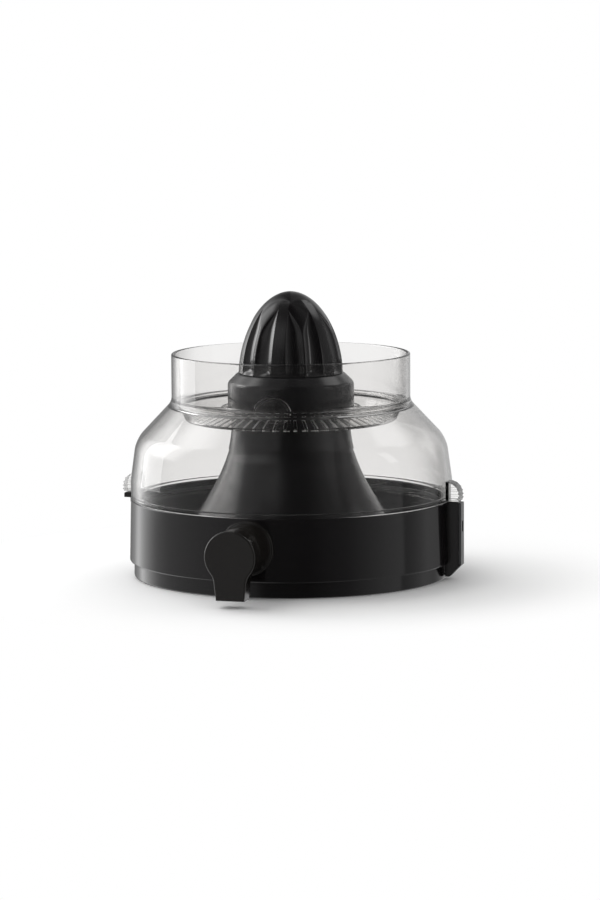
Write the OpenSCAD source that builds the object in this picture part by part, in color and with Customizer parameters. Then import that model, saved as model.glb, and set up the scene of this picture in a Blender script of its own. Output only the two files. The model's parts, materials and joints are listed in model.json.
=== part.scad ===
// Citrus press juicer attachment: juice bowl with a central drive tower, a clear dome lid with
// a lift-out sieve, a ribbed reamer and a swivelling drip-stop spout.
// Millimetres. +Z is up, the spin axis is X = Y = 0, the table is Z = 0 and the spout points to -Y.

/* [Bowl] */
// Outer radius of the juice bowl at its rim
bowl_r = 104; // [88:1:130]
// How much wider the bowl is at its foot than at its rim
bowl_draft = 1; // [0:0.5:3]
// Height of the bowl rim above the table
rim_z = 50; // [42:1:64]
// Wall of the juice bowl
bowl_wall = 2.6; // [2:0.1:3.6]
// Thickness of the bowl floor
floor_t = 3; // [2.5:0.1:4]
// Height of the open recess under the bowl floor
recess_h = 21; // [18:0.5:26]
// Height of the base ring that shows below the bowl
ring_h = 10; // [8:0.5:12]
// How far the base ring stands back from the bowl
ring_step = 2.8; // [2:0.1:4]
// Wall of the base ring around the register bore
ring_wall = 4.2; // [3:0.1:6]
// Screws that hold the base ring
ring_screw_count = 4; // [3:1:8]

/* [Lid] */
// Wall of the clear lid
lid_wall = 2.2; // [1.6:0.1:3]
// Outer radius of the lid's upright neck
neck_r = 77.1; // [68:0.5:88]
// Height of the upright neck above the dome
neck_h = 31; // [24:1:44]
// Height from the bowl rim to the dome's shoulder corner
shoulder_h = 38; // [30:1:48]
// How far the shoulder corner stands in from the rim
shoulder_in = 3.6; // [1:0.1:8]
// Rounding of the dome's shoulder
shoulder_round = 20; // [10:1:26]
// Rounding where the dome meets the neck
neck_round = 8; // [4:0.5:12]
// Slope of the dome above its shoulder, in degrees from level
dome_slope = 46.7; // [38:0.1:52]
// Depth of the lid's skirt inside the bowl
skirt_h = 8; // [5:0.5:12]
// Width of the inner ledge that carries the sieve
ledge_w = 3.1; // [2:0.1:5]
// How far a lid lug stands out from the dome
lug_out = 8.4; // [6:0.2:12]
// Width of a lid lug
lug_w = 12; // [8:0.5:18]
// Height of a lid lug
lug_h = 12.5; // [9:0.5:16]

/* [Sieve] */
// Thickness of the sieve
sieve_t = 1.8; // [1.4:0.1:2.6]
// Depth of the sieve below its rim
sieve_h = 12; // [9:0.5:16]
// How much the sieve floor rises towards the middle
sieve_rise = 7; // [4:0.5:9]
// Slots around the sieve
slot_count = 60; // [36:6:72]
// Width of a sieve slot
slot_w = 2; // [1.2:0.1:2.6]
// Half width of the thumb tab
tab_half_w = 12.2; // [8:0.2:15]
// Half height of the thumb tab
tab_half_h = 9.8; // [7:0.2:12]

/* [Tower] */
// Outer radius of the drive tower's neck
tower_r = 38.4; // [32:0.2:46]
// Outer radius of the tower's foot
tower_foot_r = 74.5; // [66:0.5:86]
// Wall of the drive tower
tower_wall = 2.6; // [2:0.1:3.4]
// Screws that hold the tower down
tower_screw_count = 6; // [4:1:8]

/* [Reamer] */
// Height of the reamer cone above its collar
cone_h = 52.3; // [42:0.5:64]
// Height of the collar
collar_h = 24.2; // [21:0.2:32]
// Wall of the collar's skirt
collar_wall = 1.9; // [1.5:0.1:2.8]
// Width of the collar's rounded shoulder
collar_shoulder = 6.9; // [5:0.1:9]
// Wall of the hollow cone
cone_wall = 2.4; // [1.8:0.1:3.2]
// Depth of the flutes between the ribs at the foot of the cone
flute_depth = 3.4; // [2:0.1:4.4]
// Main ribs, which reach the tip
rib_count = 6; // [5:1:8]

/* [Gears] */
// Teeth on the sun gear
sun_teeth = 12; // [12:12:12]
// Teeth on each planet gear
planet_teeth = 24; // [24:12:24]
// Face width of the gears
gear_face = 13.5; // [10:0.5:16]
// Radius of the output shaft
shaft_r = 6; // [5:0.1:7]
// Radius of the input shaft
input_r = 4.8; // [4:0.1:4.8]
// Radius of the planet pins
pin_r = 3; // [2.4:0.1:4]

/* [Drive socket] */
// Outer radius of the drive coupling
coupling_r = 14; // [12:0.5:18]
// Height of the drive coupling
coupling_h = 26; // [20:1:30]
// Radius of the round mouth of the drive socket
socket_r = 9; // [7:0.1:11]
// Depth of the round mouth
socket_mouth_h = 7; // [5:0.5:9]

/* [Spout] */
// Radius of the juice way through the spout
way_r = 7; // [5:0.1:7.4]
// Outer radius of the turning barrel
barrel_r = 10; // [9.4:0.1:11]
// Outer radius of the fixed spout body
spout_r = 15.8; // [14:0.1:17]
// Length of the fixed spout body beyond the bowl
spout_len = 27; // [18:0.5:34]
// Radius of the turning spout's round head
head_r = 16.3; // [14:0.1:18]
// Thickness of the turning spout
head_t = 12; // [10:0.5:16]
// Half width of the tail below the head
tail_half_w = 10.3; // [8:0.1:11]
// Half width of the tail at its open end
tail_end_half_w = 9.1; // [7:0.1:10]
// Height of the tail's open end above the table
tail_z = 4.5; // [2:0.5:8]

/* [Interlock] */
// Width of the interlock channel block
block_w = 8.7; // [7.5:0.1:12]
// How far the block stands out from the bowl
block_out = 9.6; // [9:0.1:13]
// Height of the block's lower end above the table
block_z = 2; // [2:0.5:8]
// Rounding of the block's lower end
block_round = 8; // [4:0.5:9]
// Travel of the interlock rod
rod_travel = 4; // [2:0.5:5]
// Radius of the interlock rod
rod_r = 1.6; // [1.2:0.1:2]

/* [Fits] */
// Radial clearance of parts that turn in each other
run_gap = 0.05; // [0.02:0.01:0.1]
// Clearance between parts that lift off or only pass each other
free_gap = 0.3; // [0.2:0.05:0.6]
// Circumferential backlash of one gear
backlash = 0.16; // [0.08:0.02:0.3]

/* [Hidden] */
$fn = 96;
eps = 0.01;
cut = 1;            // how far a cutter runs past the face it opens
cut_deep = 200;     // a cutter that only has to be long enough
edge = 0.6;         // small chamfer or step that only breaks an edge

gloss_black = [0.10, 0.09, 0.10];
warm_black = [0.13, 0.12, 0.11];
charcoal = [0.17, 0.16, 0.18];
clear = [0.88, 0.90, 0.92, 0.35];
steel = [0.72, 0.73, 0.75];
gear_white = [0.92, 0.90, 0.84];
seal_grey = [0.45, 0.46, 0.48];
bronze = [0.70, 0.52, 0.30];

// Small screws
screw_r = 1.5;
screw_hole_r = screw_r + 0.2;
screw_head_r = 2.8;
screw_head_h = 2;
screw_slot_w = 0.7;
screw_slot_len = 3.2;
boss_r = 4;

// Bowl and base ring
floor_z = recess_h + floor_t;
ring_r = bowl_r + bowl_draft - ring_step;
ring_gap = 0.1;
register_r = ring_r - ring_wall;
flange_t = 4;
boss_h = 5;             // bosses between the bowl floor and the ring's flange
flange_z = recess_h - boss_h;
ring_flange_r = register_r - 10;
ring_screw_r = register_r - 5;
ring_screw_turn = 45;

// Dome corners, worked out from the rim upwards
bowl_in_r = bowl_r - bowl_wall;
shoulder = [bowl_r - shoulder_in, rim_z + shoulder_h];
neck_z = shoulder[1] + (shoulder[0] - neck_r) * tan(dome_slope);
lid_top_z = neck_z + neck_h;
straight_h = 12;        // upright band of the dome above the rim
neck_in_r = neck_r - lid_wall;
ledge_t = 2;
ledge_z = neck_z - 2;   // top of the ledge that carries the sieve
ledge_r = neck_in_r - ledge_w;

// Lid skirt and seal
skirt_gap = 0.5;
skirt_r = bowl_in_r - skirt_gap;
seal_groove = 1.2;
seal_h = 2.4;
seal_z = rim_z - skirt_h + 2;
seal_proud = 0.2;

// Tower
tower_top_z = neck_z - 0.7;
top_plate_t = 3;
gasket_t = 1;
tower_foot_z = floor_z + gasket_t;
flare_top_z = tower_top_z - 14;
flare_top_pull = 26;
bore_r = tower_r - tower_wall;
plate_under_z = tower_top_z - top_plate_t;
cover_seat_z = plate_under_z - 45;
flare_mid_drop = 14;    // the flare's lower pull below the cover's seat
flare_lean = 0.2127;    // its reach beyond the cover, as a share of the seat's height
floor_hole_r = tower_foot_r - 13;
tower_screw_r = tower_foot_r - 8;
tower_screw_turn = 30;
tower_boss_h = 8;
tower_pilot_h = 4.5;

// Gear train, from the top plate downwards
gear_ring_wall = 4.75;
pressure_angle = 25;
addendum = 0.8;
dedendum = 1.05;
ring_teeth = sun_teeth + 2 * planet_teeth;
gear_module = (bore_r - gear_ring_wall) / (ring_teeth / 2 + dedendum);
orbit_r = gear_module * (sun_teeth + planet_teeth) / 2;
planet_count = 3;
washer_t = 1;
carrier_t = 4.2;
lower_plate_t = 3.4;
axial_gap = 0.4;
carrier_top_z = plate_under_z - washer_t - axial_gap;
carrier_z = carrier_top_z - carrier_t;
gear_z = carrier_z - axial_gap - gear_face;
lower_plate_z = gear_z - axial_gap - lower_plate_t;
carrier_r = gear_module * (ring_teeth / 2 - addendum) - 1.4;
post_turn = 180 / planet_count;
post_r = 4.4 * gear_module;
post_orbit_r = 22 * gear_module;
post_pilot_h = 8;
pin_end = 1;            // web left over each end of a planet pin
pilot_pin_r = 3;
pilot_pin_h = 5;

// Output side above the tower
bush_t = 3.5;
bush_h = 9;
washer_r = shaft_r + 7;
clip_t = 1;
clip_z = plate_under_z + bush_h + free_gap;
clip_out = 1.4;
clip_open_w = 5;
shaft_seal_z = clip_z + clip_t + axial_gap;
shaft_seal_h = 2.6;
shaft_seal_r = shaft_r + bush_t + 2;
shaft_seal_t = 1.2;
tower_boss_top_z = shaft_seal_z + shaft_seal_h;
tower_boss_r = shaft_seal_r + 1.6;
groove_depth = 0.7;

// Collar, hub and cone
labyrinth_gap = 0.5;
collar_in_r = tower_r + labyrinth_gap;
collar_r = collar_in_r + collar_wall;
collar_z = tower_top_z - 5;
collar_top_z = collar_z + collar_h;
collar_curve_h = 8.4;   // height over which the shoulder turns in
collar_step = 1;        // width of the flat that the cone stands on
deck_t = 2.5;
cone_r = collar_r - collar_shoulder;
hub_r = shaft_r + 4.5;
sleeve_t = 2.4;
hub_z = tower_boss_top_z + 0.7;
hub_h = 27;
hex_top_z = hub_z + hub_h - 4;
hex_across = shaft_r * sqrt(3);
hex_gap = 0.15;
cone_power = 1.8;
cone_root = 0.518;
cone_inner_root = 0.62;
cone_tip_share = 0.95;  // how far up the hollow goes, as a share of its height
rib_turn = 1.3;         // where a main rib stands, from the front
rib_sharp = 0.9;
minor_top = 0.82;       // share of the height at which the minor ribs run out
minor_fade = 0.2;
minor_share = 0.75;     // height of a minor rib as a share of a main rib
minor_sharp = 2.2;

// Sieve
sieve_gap = 0.4;
sieve_rim_r = neck_in_r - sieve_gap;
sieve_wall_r = ledge_r - sieve_gap;
sieve_corner_r = sieve_wall_r - 4;
sieve_z = ledge_z + free_gap;
sieve_rim_t = 2;
sieve_wall_h = 3;       // upright part of its wall, below the rim
sieve_in_r = collar_r + 2.7;
sieve_lip_w = 1.6;
sieve_lip_h = 1.4;
slot_in_r = sieve_in_r + 5.5;
slot_out_r = sieve_corner_r - 3;
tab_t = 3;
tab_rise = 3.8;         // middle of the tab above the sieve's lip

// Gearbox cover and input
cover_t = 3;
cover_edge = 3.4;       // cover beyond its screws' circle
cover_spigot_h = 4;
cover_spigot_t = 2.9;
cover_screw_r = bore_r + 4.5;
cover_r = cover_screw_r + cover_edge;
cover_screw_count = 3;
cover_screw_turn = 30;
cover_pilot_h = 6.5;
cover_hub_h = 9;
lower_bush_t = 3;
lower_bush_h = 14;
cover_hub_r = input_r + lower_bush_t + 3;
sun_shoulder = 1;       // sun gear below its teeth's working face
coupling_z = recess_h - 1;
coupling_neck_h = 9;
coupling_neck_r = input_r + 3.2;
input_bottom_z = coupling_z + 13;
socket_hex = 15;
socket_hex_h = 3.5;
cross_pin_r = 1.5;
cross_pin_z = coupling_z + coupling_h - 5;
cross_pin_out = 3;

// Spout, along -Y at its own height
way_rise = 0.6;         // lowest point of the juice way above the bowl floor
spout_z = floor_z + way_r + way_rise;
spout_foot_t = 1.2;     // back wall of the spout body against the bowl
barrel_seat_y = -(bowl_r + bowl_draft + spout_foot_t);
barrel_end_y = barrel_seat_y - free_gap;
spout_front_y = -(bowl_r + bowl_draft / 2 + spout_len);
head_back_y = spout_front_y - free_gap;
barrel_socket = 2;
barrel_front_y = head_back_y - barrel_socket;
spout_flange_r = spout_r + 1.5;
spout_flange_t = 2;
tail_fillet = 9;
channel_half_w = 5.5;
channel_t = 6;
o_ring_t = 1.2;
o_ring_w = 2.4;
o_ring_y = spout_front_y + 6;
barrel_clip_t = 1.2;
barrel_clip_y = barrel_end_y - 4;
barrel_groove = 0.8;

// Interlock
block_x = bowl_r + block_out;
block_in_x = ring_r + 0.4;
plate_t = 1.8;
plate_z = block_z + block_round;
rod_x = bowl_r + 3.9;
rod_gap = 0.1;
rod_head_r = 2.9;
rod_head_h = 1.8;
well_gap = 0.2;
lug_z = rim_z + 1;
lug_ribs = 4;
lug_rib_t = 1;
lug_rib_proud = 0.4;
block_top_z = lug_z - 0.5;
rod_top_z = block_top_z - 0.2;
rod_z = block_z + rod_travel - 1;
well_h = 12.5;
spring_seat_z = block_top_z - well_h;
spring_turns = 6;
spring_wire_r = 0.3;
spring_r = 2.35;
spring_gap = 0.05;
window_z = rim_z - 19;
window_h = 7;
window_w = 3.4;
hook_h = 6.5;
hook_w = 9;
hook_out = 8.6;

// ---- outlines ----

function reverse(p) = [for (i = [len(p) - 1 : -1 : 0]) p[i]];

function arc(c, r, a0, a1, n = 8) =
    [for (i = [0 : n]) let (a = a0 + (a1 - a0) * i / n) c + r * [cos(a), sin(a)]];

function unit(v) = v / norm(v);

// A corner of a path, rounded with radius r, as n + 1 points
function corner(a, b, c, r, n) =
    let (u = unit(a - b), v = unit(c - b), half = acos(u * v) / 2, t = r / tan(half),
         m = b + unit(u + v) * r / sin(half), p = b + u * t, q = b + v * t,
         a0 = atan2(p[1] - m[1], p[0] - m[0]), a1 = atan2(q[1] - m[1], q[0] - m[0]),
         turn = a1 - a0 > 180 ? a1 - a0 - 360 : (a1 - a0 < -180 ? a1 - a0 + 360 : a1 - a0))
    arc(m, r, a0, a0 + turn, n);

// A path of [x, y, radius] corners, with each inner corner rounded
function rounded(p, n = 6) = [
    for (i = [0 : len(p) - 1]) let (b = [p[i][0], p[i][1]])
        if (i == 0 || i == len(p) - 1 || p[i][2] == 0) b
        else each corner([p[i - 1][0], p[i - 1][1]], b, [p[i + 1][0], p[i + 1][1]], p[i][2], n)
];

function bezier(a, b, c, d, t) =
    a * pow(1 - t, 3) + 3 * b * t * pow(1 - t, 2) + 3 * c * t * t * (1 - t) + d * pow(t, 3);

function normal(a, b) = let (d = unit(b - a)) [-d[1], d[0]];

// A path moved sideways by t, to the left of its direction
function shifted(p, t) = [
    for (i = [0 : len(p) - 1])
        let (n1 = normal(p[max(i - 1, 0)], p[max(i, 1)]),
             n2 = normal(p[min(i, len(p) - 2)], p[min(i + 1, len(p) - 1)]),
             m = unit(n1 + n2))
        p[i] + m * t / (m * n1)
];

function dome_path() = rounded([
    [bowl_r, rim_z, 0],
    [bowl_r, rim_z + straight_h, 0],
    [shoulder[0], shoulder[1], shoulder_round],
    [neck_r, neck_z, neck_round],
    [neck_r, lid_top_z, 0]
]);

function flare_path(n = 20) = [
    for (i = [0 : n]) bezier(
        [tower_r, flare_top_z],
        [tower_r + 0.4, flare_top_z - flare_top_pull],
        [cover_r + flare_lean * (cover_seat_z - tower_foot_z), cover_seat_z - flare_mid_drop],
        [tower_foot_r, tower_foot_z],
        i / n)
];

function cone_profile_r(t) = cone_r * pow(max(1 - pow(t, cone_power), 0), cone_root);

// ---- shared shapes ----

module tube(r_out, r_in, h) {
    difference() {
        cylinder(r = r_out, h = h);
        translate([0, 0, -cut]) cylinder(r = r_in, h = h + 2 * cut);
    }
}

module around(count, r, start = 0) {
    for (i = [0 : count - 1]) rotate(start + i * 360 / count) translate([r, 0, 0]) children();
}

// A pan-head screw pointing up, with the seat of its head at the origin
module screw(len) {
    difference() {
        union() {
            translate([0, 0, -eps]) cylinder(r = screw_r, h = len + eps);
            translate([0, 0, -screw_head_h]) cylinder(r = screw_head_r, h = screw_head_h);
        }
        for (a = [0, 90]) rotate(a)
            translate([-screw_slot_len / 2, -screw_slot_w / 2, -screw_head_h - cut])
            cube([screw_slot_len, screw_slot_w, cut + screw_head_h / 2]);
    }
}

// Turns a shape that is drawn along +Z so that it runs along -Y at the spout's height
module along_spout(y) {
    translate([0, y, spout_z]) rotate([90, 0, 0]) children();
}

// Side triangles between rings of points, each with the given number of sides
function band_faces(sides, rings) =
    [for (k = [0 : rings - 2]) for (i = [0 : sides - 1])
        let (a = k * sides + i, b = k * sides + (i + 1) % sides)
        each [[a, a + sides, b + sides], [a, b + sides, b]]];

// Everything inside the bowl's outer surface
module bowl_envelope(grow = 0) {
    translate([0, 0, ring_h])
        cylinder(r1 = bowl_r + bowl_draft + grow, r2 = bowl_r + grow, h = rim_z - ring_h);
}

// ---- gears ----

function involute(base_r, r) = let (a = acos(min(base_r / r, 1))) tan(a) * 180 / PI - a;

// Half the angle that a tooth fills at radius r
function tooth_half(teeth, pitch_r, base_r, r, thin) =
    90 / teeth - thin / pitch_r * 90 / PI + involute(base_r, pitch_r) - involute(base_r, r);

function gear_points(teeth, tip, root, thin, steps = 4) =
    let (pitch_r = gear_module * teeth / 2, base_r = pitch_r * cos(pressure_angle),
         tip_r = pitch_r + tip * gear_module, root_r = pitch_r - root * gear_module,
         start_r = max(base_r, root_r))
    [for (i = [0 : teeth - 1]) each let (c = i * 360 / teeth) concat(
        [root_r < base_r ? root_r * [cos(c - tooth_half(teeth, pitch_r, base_r, base_r, thin)),
                                     sin(c - tooth_half(teeth, pitch_r, base_r, base_r, thin))]
                         : root_r * [cos(c - 0.47 * 360 / teeth), sin(c - 0.47 * 360 / teeth)]],
        [for (k = [0 : steps]) let (r = start_r + (tip_r - start_r) * k / steps,
                                    a = c - tooth_half(teeth, pitch_r, base_r, r, thin))
            r * [cos(a), sin(a)]],
        [for (k = [steps : -1 : 0]) let (r = start_r + (tip_r - start_r) * k / steps,
                                         a = c + tooth_half(teeth, pitch_r, base_r, r, thin))
            r * [cos(a), sin(a)]],
        [root_r < base_r ? root_r * [cos(c + tooth_half(teeth, pitch_r, base_r, base_r, thin)),
                                     sin(c + tooth_half(teeth, pitch_r, base_r, base_r, thin))]
                         : root_r * [cos(c + 0.47 * 360 / teeth), sin(c + 0.47 * 360 / teeth)]]
    )];

// ---- root body ----

module juice_bowl() {
    color(gloss_black) difference() {
        union() {
            difference() {
                bowl_envelope();
                translate([0, 0, floor_z])
                    cylinder(r1 = bowl_in_r + bowl_draft, r2 = bowl_in_r, h = rim_z - floor_z + eps);
                translate([0, 0, -cut]) cylinder(r = ring_r + ring_gap, h = recess_h + cut);
            }
            around(ring_screw_count, ring_screw_r, ring_screw_turn)
                translate([0, 0, flange_z]) cylinder(r = boss_r, h = boss_h + eps);
            channel_block();
            catch_hook();
        }
        // the lid's foot stays clear of the block
        translate([0, 0, rim_z]) cylinder(r = bowl_r + free_gap, h = cut_deep);
        // middle opening and screw holes
        translate([0, 0, recess_h - cut]) cylinder(r = floor_hole_r, h = floor_t + 2 * cut);
        around(tower_screw_count, tower_screw_r, tower_screw_turn)
            translate([0, 0, recess_h - cut]) cylinder(r = screw_hole_r, h = floor_t + 2 * cut);
        around(ring_screw_count, ring_screw_r, ring_screw_turn)
            translate([0, 0, flange_z - cut]) cylinder(r = screw_r, h = boss_h + cut + eps);
        // juice way
        along_spout(-(bowl_in_r - bowl_wall)) cylinder(r = way_r, h = 4 * bowl_wall + bowl_draft);
        // interlock rod hole and spring well
        translate([rod_x, 0, block_z - cut]) cylinder(r = rod_r + rod_gap, h = cut_deep);
        translate([rod_x, 0, spring_seat_z]) cylinder(r = rod_head_r + well_gap, h = well_h + cut);
    }
}

// Upright channel block on the right, with a rounded lower end
module channel_block() {
    translate([0, block_w / 2, 0]) rotate([90, 0, 0]) linear_extrude(block_w) polygon(concat(
        [[block_in_x, block_z]],
        arc([block_x - block_round, plate_z], block_round, -90, 0),
        [[block_x - plate_t, plate_z], [block_x - plate_t, block_top_z], [block_in_x, block_top_z]]));
}

// Catch hook on the left, undercut on its outer half
module catch_hook() {
    difference() {
        translate([-bowl_r - hook_out, -hook_w / 2, rim_z - hook_h])
            cube([hook_out + bowl_wall / 2, hook_w, hook_h]);
        translate([-bowl_r - hook_out - cut, -hook_w / 2 - cut, rim_z - hook_h - cut])
            cube([hook_out / 2 + cut, hook_w + 2 * cut, hook_h / 2 + cut]);
    }
}

module base_ring() {
    color(gloss_black) difference() {
        cylinder(r = ring_r, h = recess_h - ring_gap);
        translate([0, 0, -cut]) cylinder(r = register_r, h = flange_z - flange_t + cut);
        translate([0, 0, -cut]) cylinder(r = ring_flange_r, h = recess_h + 2 * cut);
        translate([0, 0, flange_z]) cylinder(r = register_r, h = recess_h);
        // screw holes, with counterbores that keep the heads out of the register bore
        around(ring_screw_count, ring_screw_r, ring_screw_turn) {
            translate([0, 0, -cut]) cylinder(r = screw_hole_r, h = recess_h);
            translate([0, 0, flange_z - flange_t - cut])
                cylinder(r = screw_head_r + free_gap, h = screw_head_h + cut);
        }
    }
}

module ring_screws() {
    color(steel) around(ring_screw_count, ring_screw_r, ring_screw_turn)
        translate([0, 0, flange_z - flange_t + screw_head_h])
        screw(flange_t - screw_head_h + boss_h - 0.5);
}

module drive_tower() {
    flare = flare_path();
    wall_line = [for (p = shifted(flare, -tower_wall)) if (p[1] < cover_seat_z && p[1] > tower_foot_z) p];
    inner_foot_r = wall_line[len(wall_line) - 1][0];
    color(charcoal) difference() {
        union() {
            difference() {
                rotate_extrude() polygon(concat(
                    [[0, tower_foot_z], [0, tower_top_z], [tower_r - edge, tower_top_z],
                     [tower_r, tower_top_z - edge]],
                    flare));
                // the flare's hollow, open below
                rotate_extrude() polygon(concat(
                    [[0, cover_seat_z], [wall_line[0][0], cover_seat_z]],
                    wall_line,
                    [[inner_foot_r + 1, tower_foot_z - cut], [0, tower_foot_z - cut]]));
            }
            translate([0, 0, tower_top_z - cut])
                cylinder(r = tower_boss_r, h = tower_boss_top_z - tower_top_z + cut);
            // screw bosses, trimmed to the flare's outside
            intersection() {
                around(tower_screw_count, tower_screw_r, tower_screw_turn)
                    translate([0, 0, tower_foot_z]) cylinder(r = boss_r, h = tower_boss_h);
                rotate_extrude() polygon(concat([[0, tower_foot_z], [0, flare_top_z]], flare));
            }
        }
        // gearbox bore
        translate([0, 0, cover_seat_z - cut]) cylinder(r = bore_r, h = plate_under_z - cover_seat_z + cut);
        // shaft bush and seal seats
        translate([0, 0, plate_under_z - cut]) cylinder(r = shaft_r + bush_t, h = cut_deep);
        translate([0, 0, shaft_seal_z]) cylinder(r = shaft_seal_r, h = cut_deep);
        around(tower_screw_count, tower_screw_r, tower_screw_turn)
            translate([0, 0, tower_foot_z - cut]) cylinder(r = screw_r, h = tower_pilot_h + cut);
        around(cover_screw_count, cover_screw_r, cover_screw_turn)
            translate([0, 0, cover_seat_z - cut]) cylinder(r = screw_r, h = cover_pilot_h + cut);
    }
}

module tower_gasket() {
    color(seal_grey) difference() {
        translate([0, 0, floor_z]) tube(tower_foot_r - edge, floor_hole_r + edge, gasket_t);
        around(tower_screw_count, tower_screw_r, tower_screw_turn)
            translate([0, 0, floor_z - cut]) cylinder(r = screw_hole_r, h = gasket_t + 2 * cut);
    }
}

module tower_screws() {
    color(steel) around(tower_screw_count, tower_screw_r, tower_screw_turn)
        translate([0, 0, recess_h]) screw(floor_t + gasket_t + tower_pilot_h - 0.5);
}

module ring_gear() {
    h = plate_under_z - lower_plate_z;
    color(gear_white) translate([0, 0, lower_plate_z]) difference() {
        cylinder(r = bore_r, h = h);
        translate([0, 0, -cut]) linear_extrude(h + 2 * cut) rotate(180 / ring_teeth)
            polygon(gear_points(ring_teeth, dedendum, addendum, -backlash));
    }
}

module gearbox_cover() {
    hub_z = cover_seat_z - cover_t - cover_hub_h;
    color(gear_white) difference() {
        union() {
            translate([0, 0, cover_seat_z - cover_t])
                cylinder(r = cover_r, h = cover_t);
            translate([0, 0, cover_seat_z - eps])
                cylinder(r = bore_r - run_gap, h = cover_spigot_h + eps);
            translate([0, 0, hub_z]) cylinder(r = cover_hub_r, h = cover_hub_h + eps);
        }
        // the spigot is a ring with a hub in its middle
        translate([0, 0, cover_seat_z])
            tube(bore_r - cover_spigot_t, cover_hub_r, cover_spigot_h + cut);
        translate([0, 0, hub_z - cut]) cylinder(r = input_r + lower_bush_t, h = cut_deep);
        around(cover_screw_count, cover_screw_r, cover_screw_turn)
            translate([0, 0, cover_seat_z - cover_t - cut])
            cylinder(r = screw_hole_r, h = cover_t + 2 * cut);
    }
}

module cover_screws() {
    color(steel) around(cover_screw_count, cover_screw_r, cover_screw_turn)
        translate([0, 0, cover_seat_z - cover_t]) screw(cover_t + cover_pilot_h - 0.5);
}

module lower_bush() {
    color(bronze) translate([0, 0, cover_seat_z + cover_spigot_h - lower_bush_h])
        tube(input_r + lower_bush_t, input_r + run_gap, lower_bush_h);
}

module upper_bush() {
    color(bronze) translate([0, 0, plate_under_z])
        tube(shaft_r + bush_t, shaft_r + run_gap, bush_h);
}

module thrust_washer() {
    color(bronze) translate([0, 0, plate_under_z - washer_t])
        tube(washer_r, shaft_r + free_gap, washer_t);
}

module shaft_seal() {
    color(seal_grey) translate([0, 0, shaft_seal_z]) difference() {
        tube(shaft_seal_r, shaft_r + run_gap, shaft_seal_h);
        // groove that leaves a thin lip at the shaft
        translate([0, 0, shaft_seal_t])
            tube(shaft_seal_r - shaft_seal_t, shaft_r + shaft_seal_t, shaft_seal_h);
    }
}

// Fixed spout, seated on the outside of the bowl wall
module spout_body() {
    color(warm_black) difference() {
        along_spout(-bowl_r) {
            cylinder(r = spout_r, h = -bowl_r - spout_front_y);
            cylinder(r = spout_flange_r, h = bowl_draft + spout_flange_t);
        }
        bowl_envelope();
        along_spout(-bowl_r + bowl_wall) cylinder(r = way_r, h = cut_deep);
        along_spout(barrel_seat_y) cylinder(r = barrel_r + run_gap, h = cut_deep);
        // room for the barrel's clip
        along_spout(barrel_clip_y + free_gap)
            cylinder(r = barrel_r + clip_out + free_gap, h = barrel_clip_t + 2 * free_gap);
    }
}

module interlock_cover() {
    color(seal_grey) difference() {
        translate([block_x - plate_t, -block_w / 2, plate_z])
            cube([plate_t, block_w, block_top_z - edge - plate_z]);
        translate([block_x - plate_t - cut, -window_w / 2, window_z])
            cube([plate_t + 2 * cut, window_w, window_h]);
    }
}

// ---- output body ----

module planet_carrier() {
    posts_z = lower_plate_z + lower_plate_t;
    color(gear_white) difference() {
        union() {
            translate([0, 0, carrier_z]) cylinder(r = carrier_r, h = carrier_t);
            around(planet_count, post_orbit_r, post_turn)
                translate([0, 0, posts_z]) cylinder(r = post_r, h = carrier_z - posts_z + eps);
        }
        translate([0, 0, carrier_z - cut]) cylinder(r = shaft_r, h = carrier_t + 2 * cut);
        around(planet_count, orbit_r)
            translate([0, 0, carrier_z - cut]) cylinder(r = pin_r, h = carrier_t - pin_end + cut);
        around(planet_count, post_orbit_r, post_turn)
            translate([0, 0, posts_z - cut]) cylinder(r = screw_r, h = post_pilot_h + cut);
    }
}

module carrier_plate() {
    color(gear_white) difference() {
        translate([0, 0, lower_plate_z]) cylinder(r = carrier_r, h = lower_plate_t);
        translate([0, 0, lower_plate_z - cut])
            cylinder(r = input_r + 3, h = lower_plate_t + 2 * cut);
        around(planet_count, orbit_r)
            translate([0, 0, lower_plate_z + pin_end]) cylinder(r = pin_r, h = lower_plate_t);
        around(planet_count, post_orbit_r, post_turn) translate([0, 0, lower_plate_z - cut]) {
            cylinder(r = screw_hole_r, h = lower_plate_t + 2 * cut);
            cylinder(r = screw_head_r + free_gap, h = screw_head_h + cut);
        }
    }
}

module carrier_screws() {
    color(steel) around(planet_count, post_orbit_r, post_turn)
        translate([0, 0, lower_plate_z + screw_head_h])
        screw(lower_plate_t - screw_head_h + post_pilot_h - 0.5);
}

module planet_pins() {
    low = lower_plate_z + pin_end;
    color(steel) around(planet_count, orbit_r)
        translate([0, 0, low]) cylinder(r = pin_r, h = carrier_top_z - pin_end - low);
}

module output_shaft() {
    color(steel) difference() {
        union() {
            translate([0, 0, carrier_z]) cylinder(r = shaft_r, h = hub_z - carrier_z);
            translate([0, 0, hub_z - eps])
                cylinder(r = hex_across / sqrt(3), h = hex_top_z - hub_z + eps, $fn = 6);
        }
        translate([0, 0, carrier_z - cut])
            cylinder(r = pilot_pin_r + run_gap, h = pilot_pin_h + pin_end + cut);
        translate([0, 0, clip_z]) tube(shaft_r + cut, shaft_r - groove_depth, clip_t);
    }
}

// A flat open clip in the groove of a shaft or barrel
module open_clip(r, depth, h) {
    difference() {
        tube(r + clip_out, r - depth, h);
        translate([-clip_open_w / 2, 0, -cut]) cube([clip_open_w, r + clip_out + cut, h + 2 * cut]);
    }
}

module shaft_circlip() {
    color(steel) translate([0, 0, clip_z]) open_clip(shaft_r, groove_depth, clip_t);
}

// ---- planets ----

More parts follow.
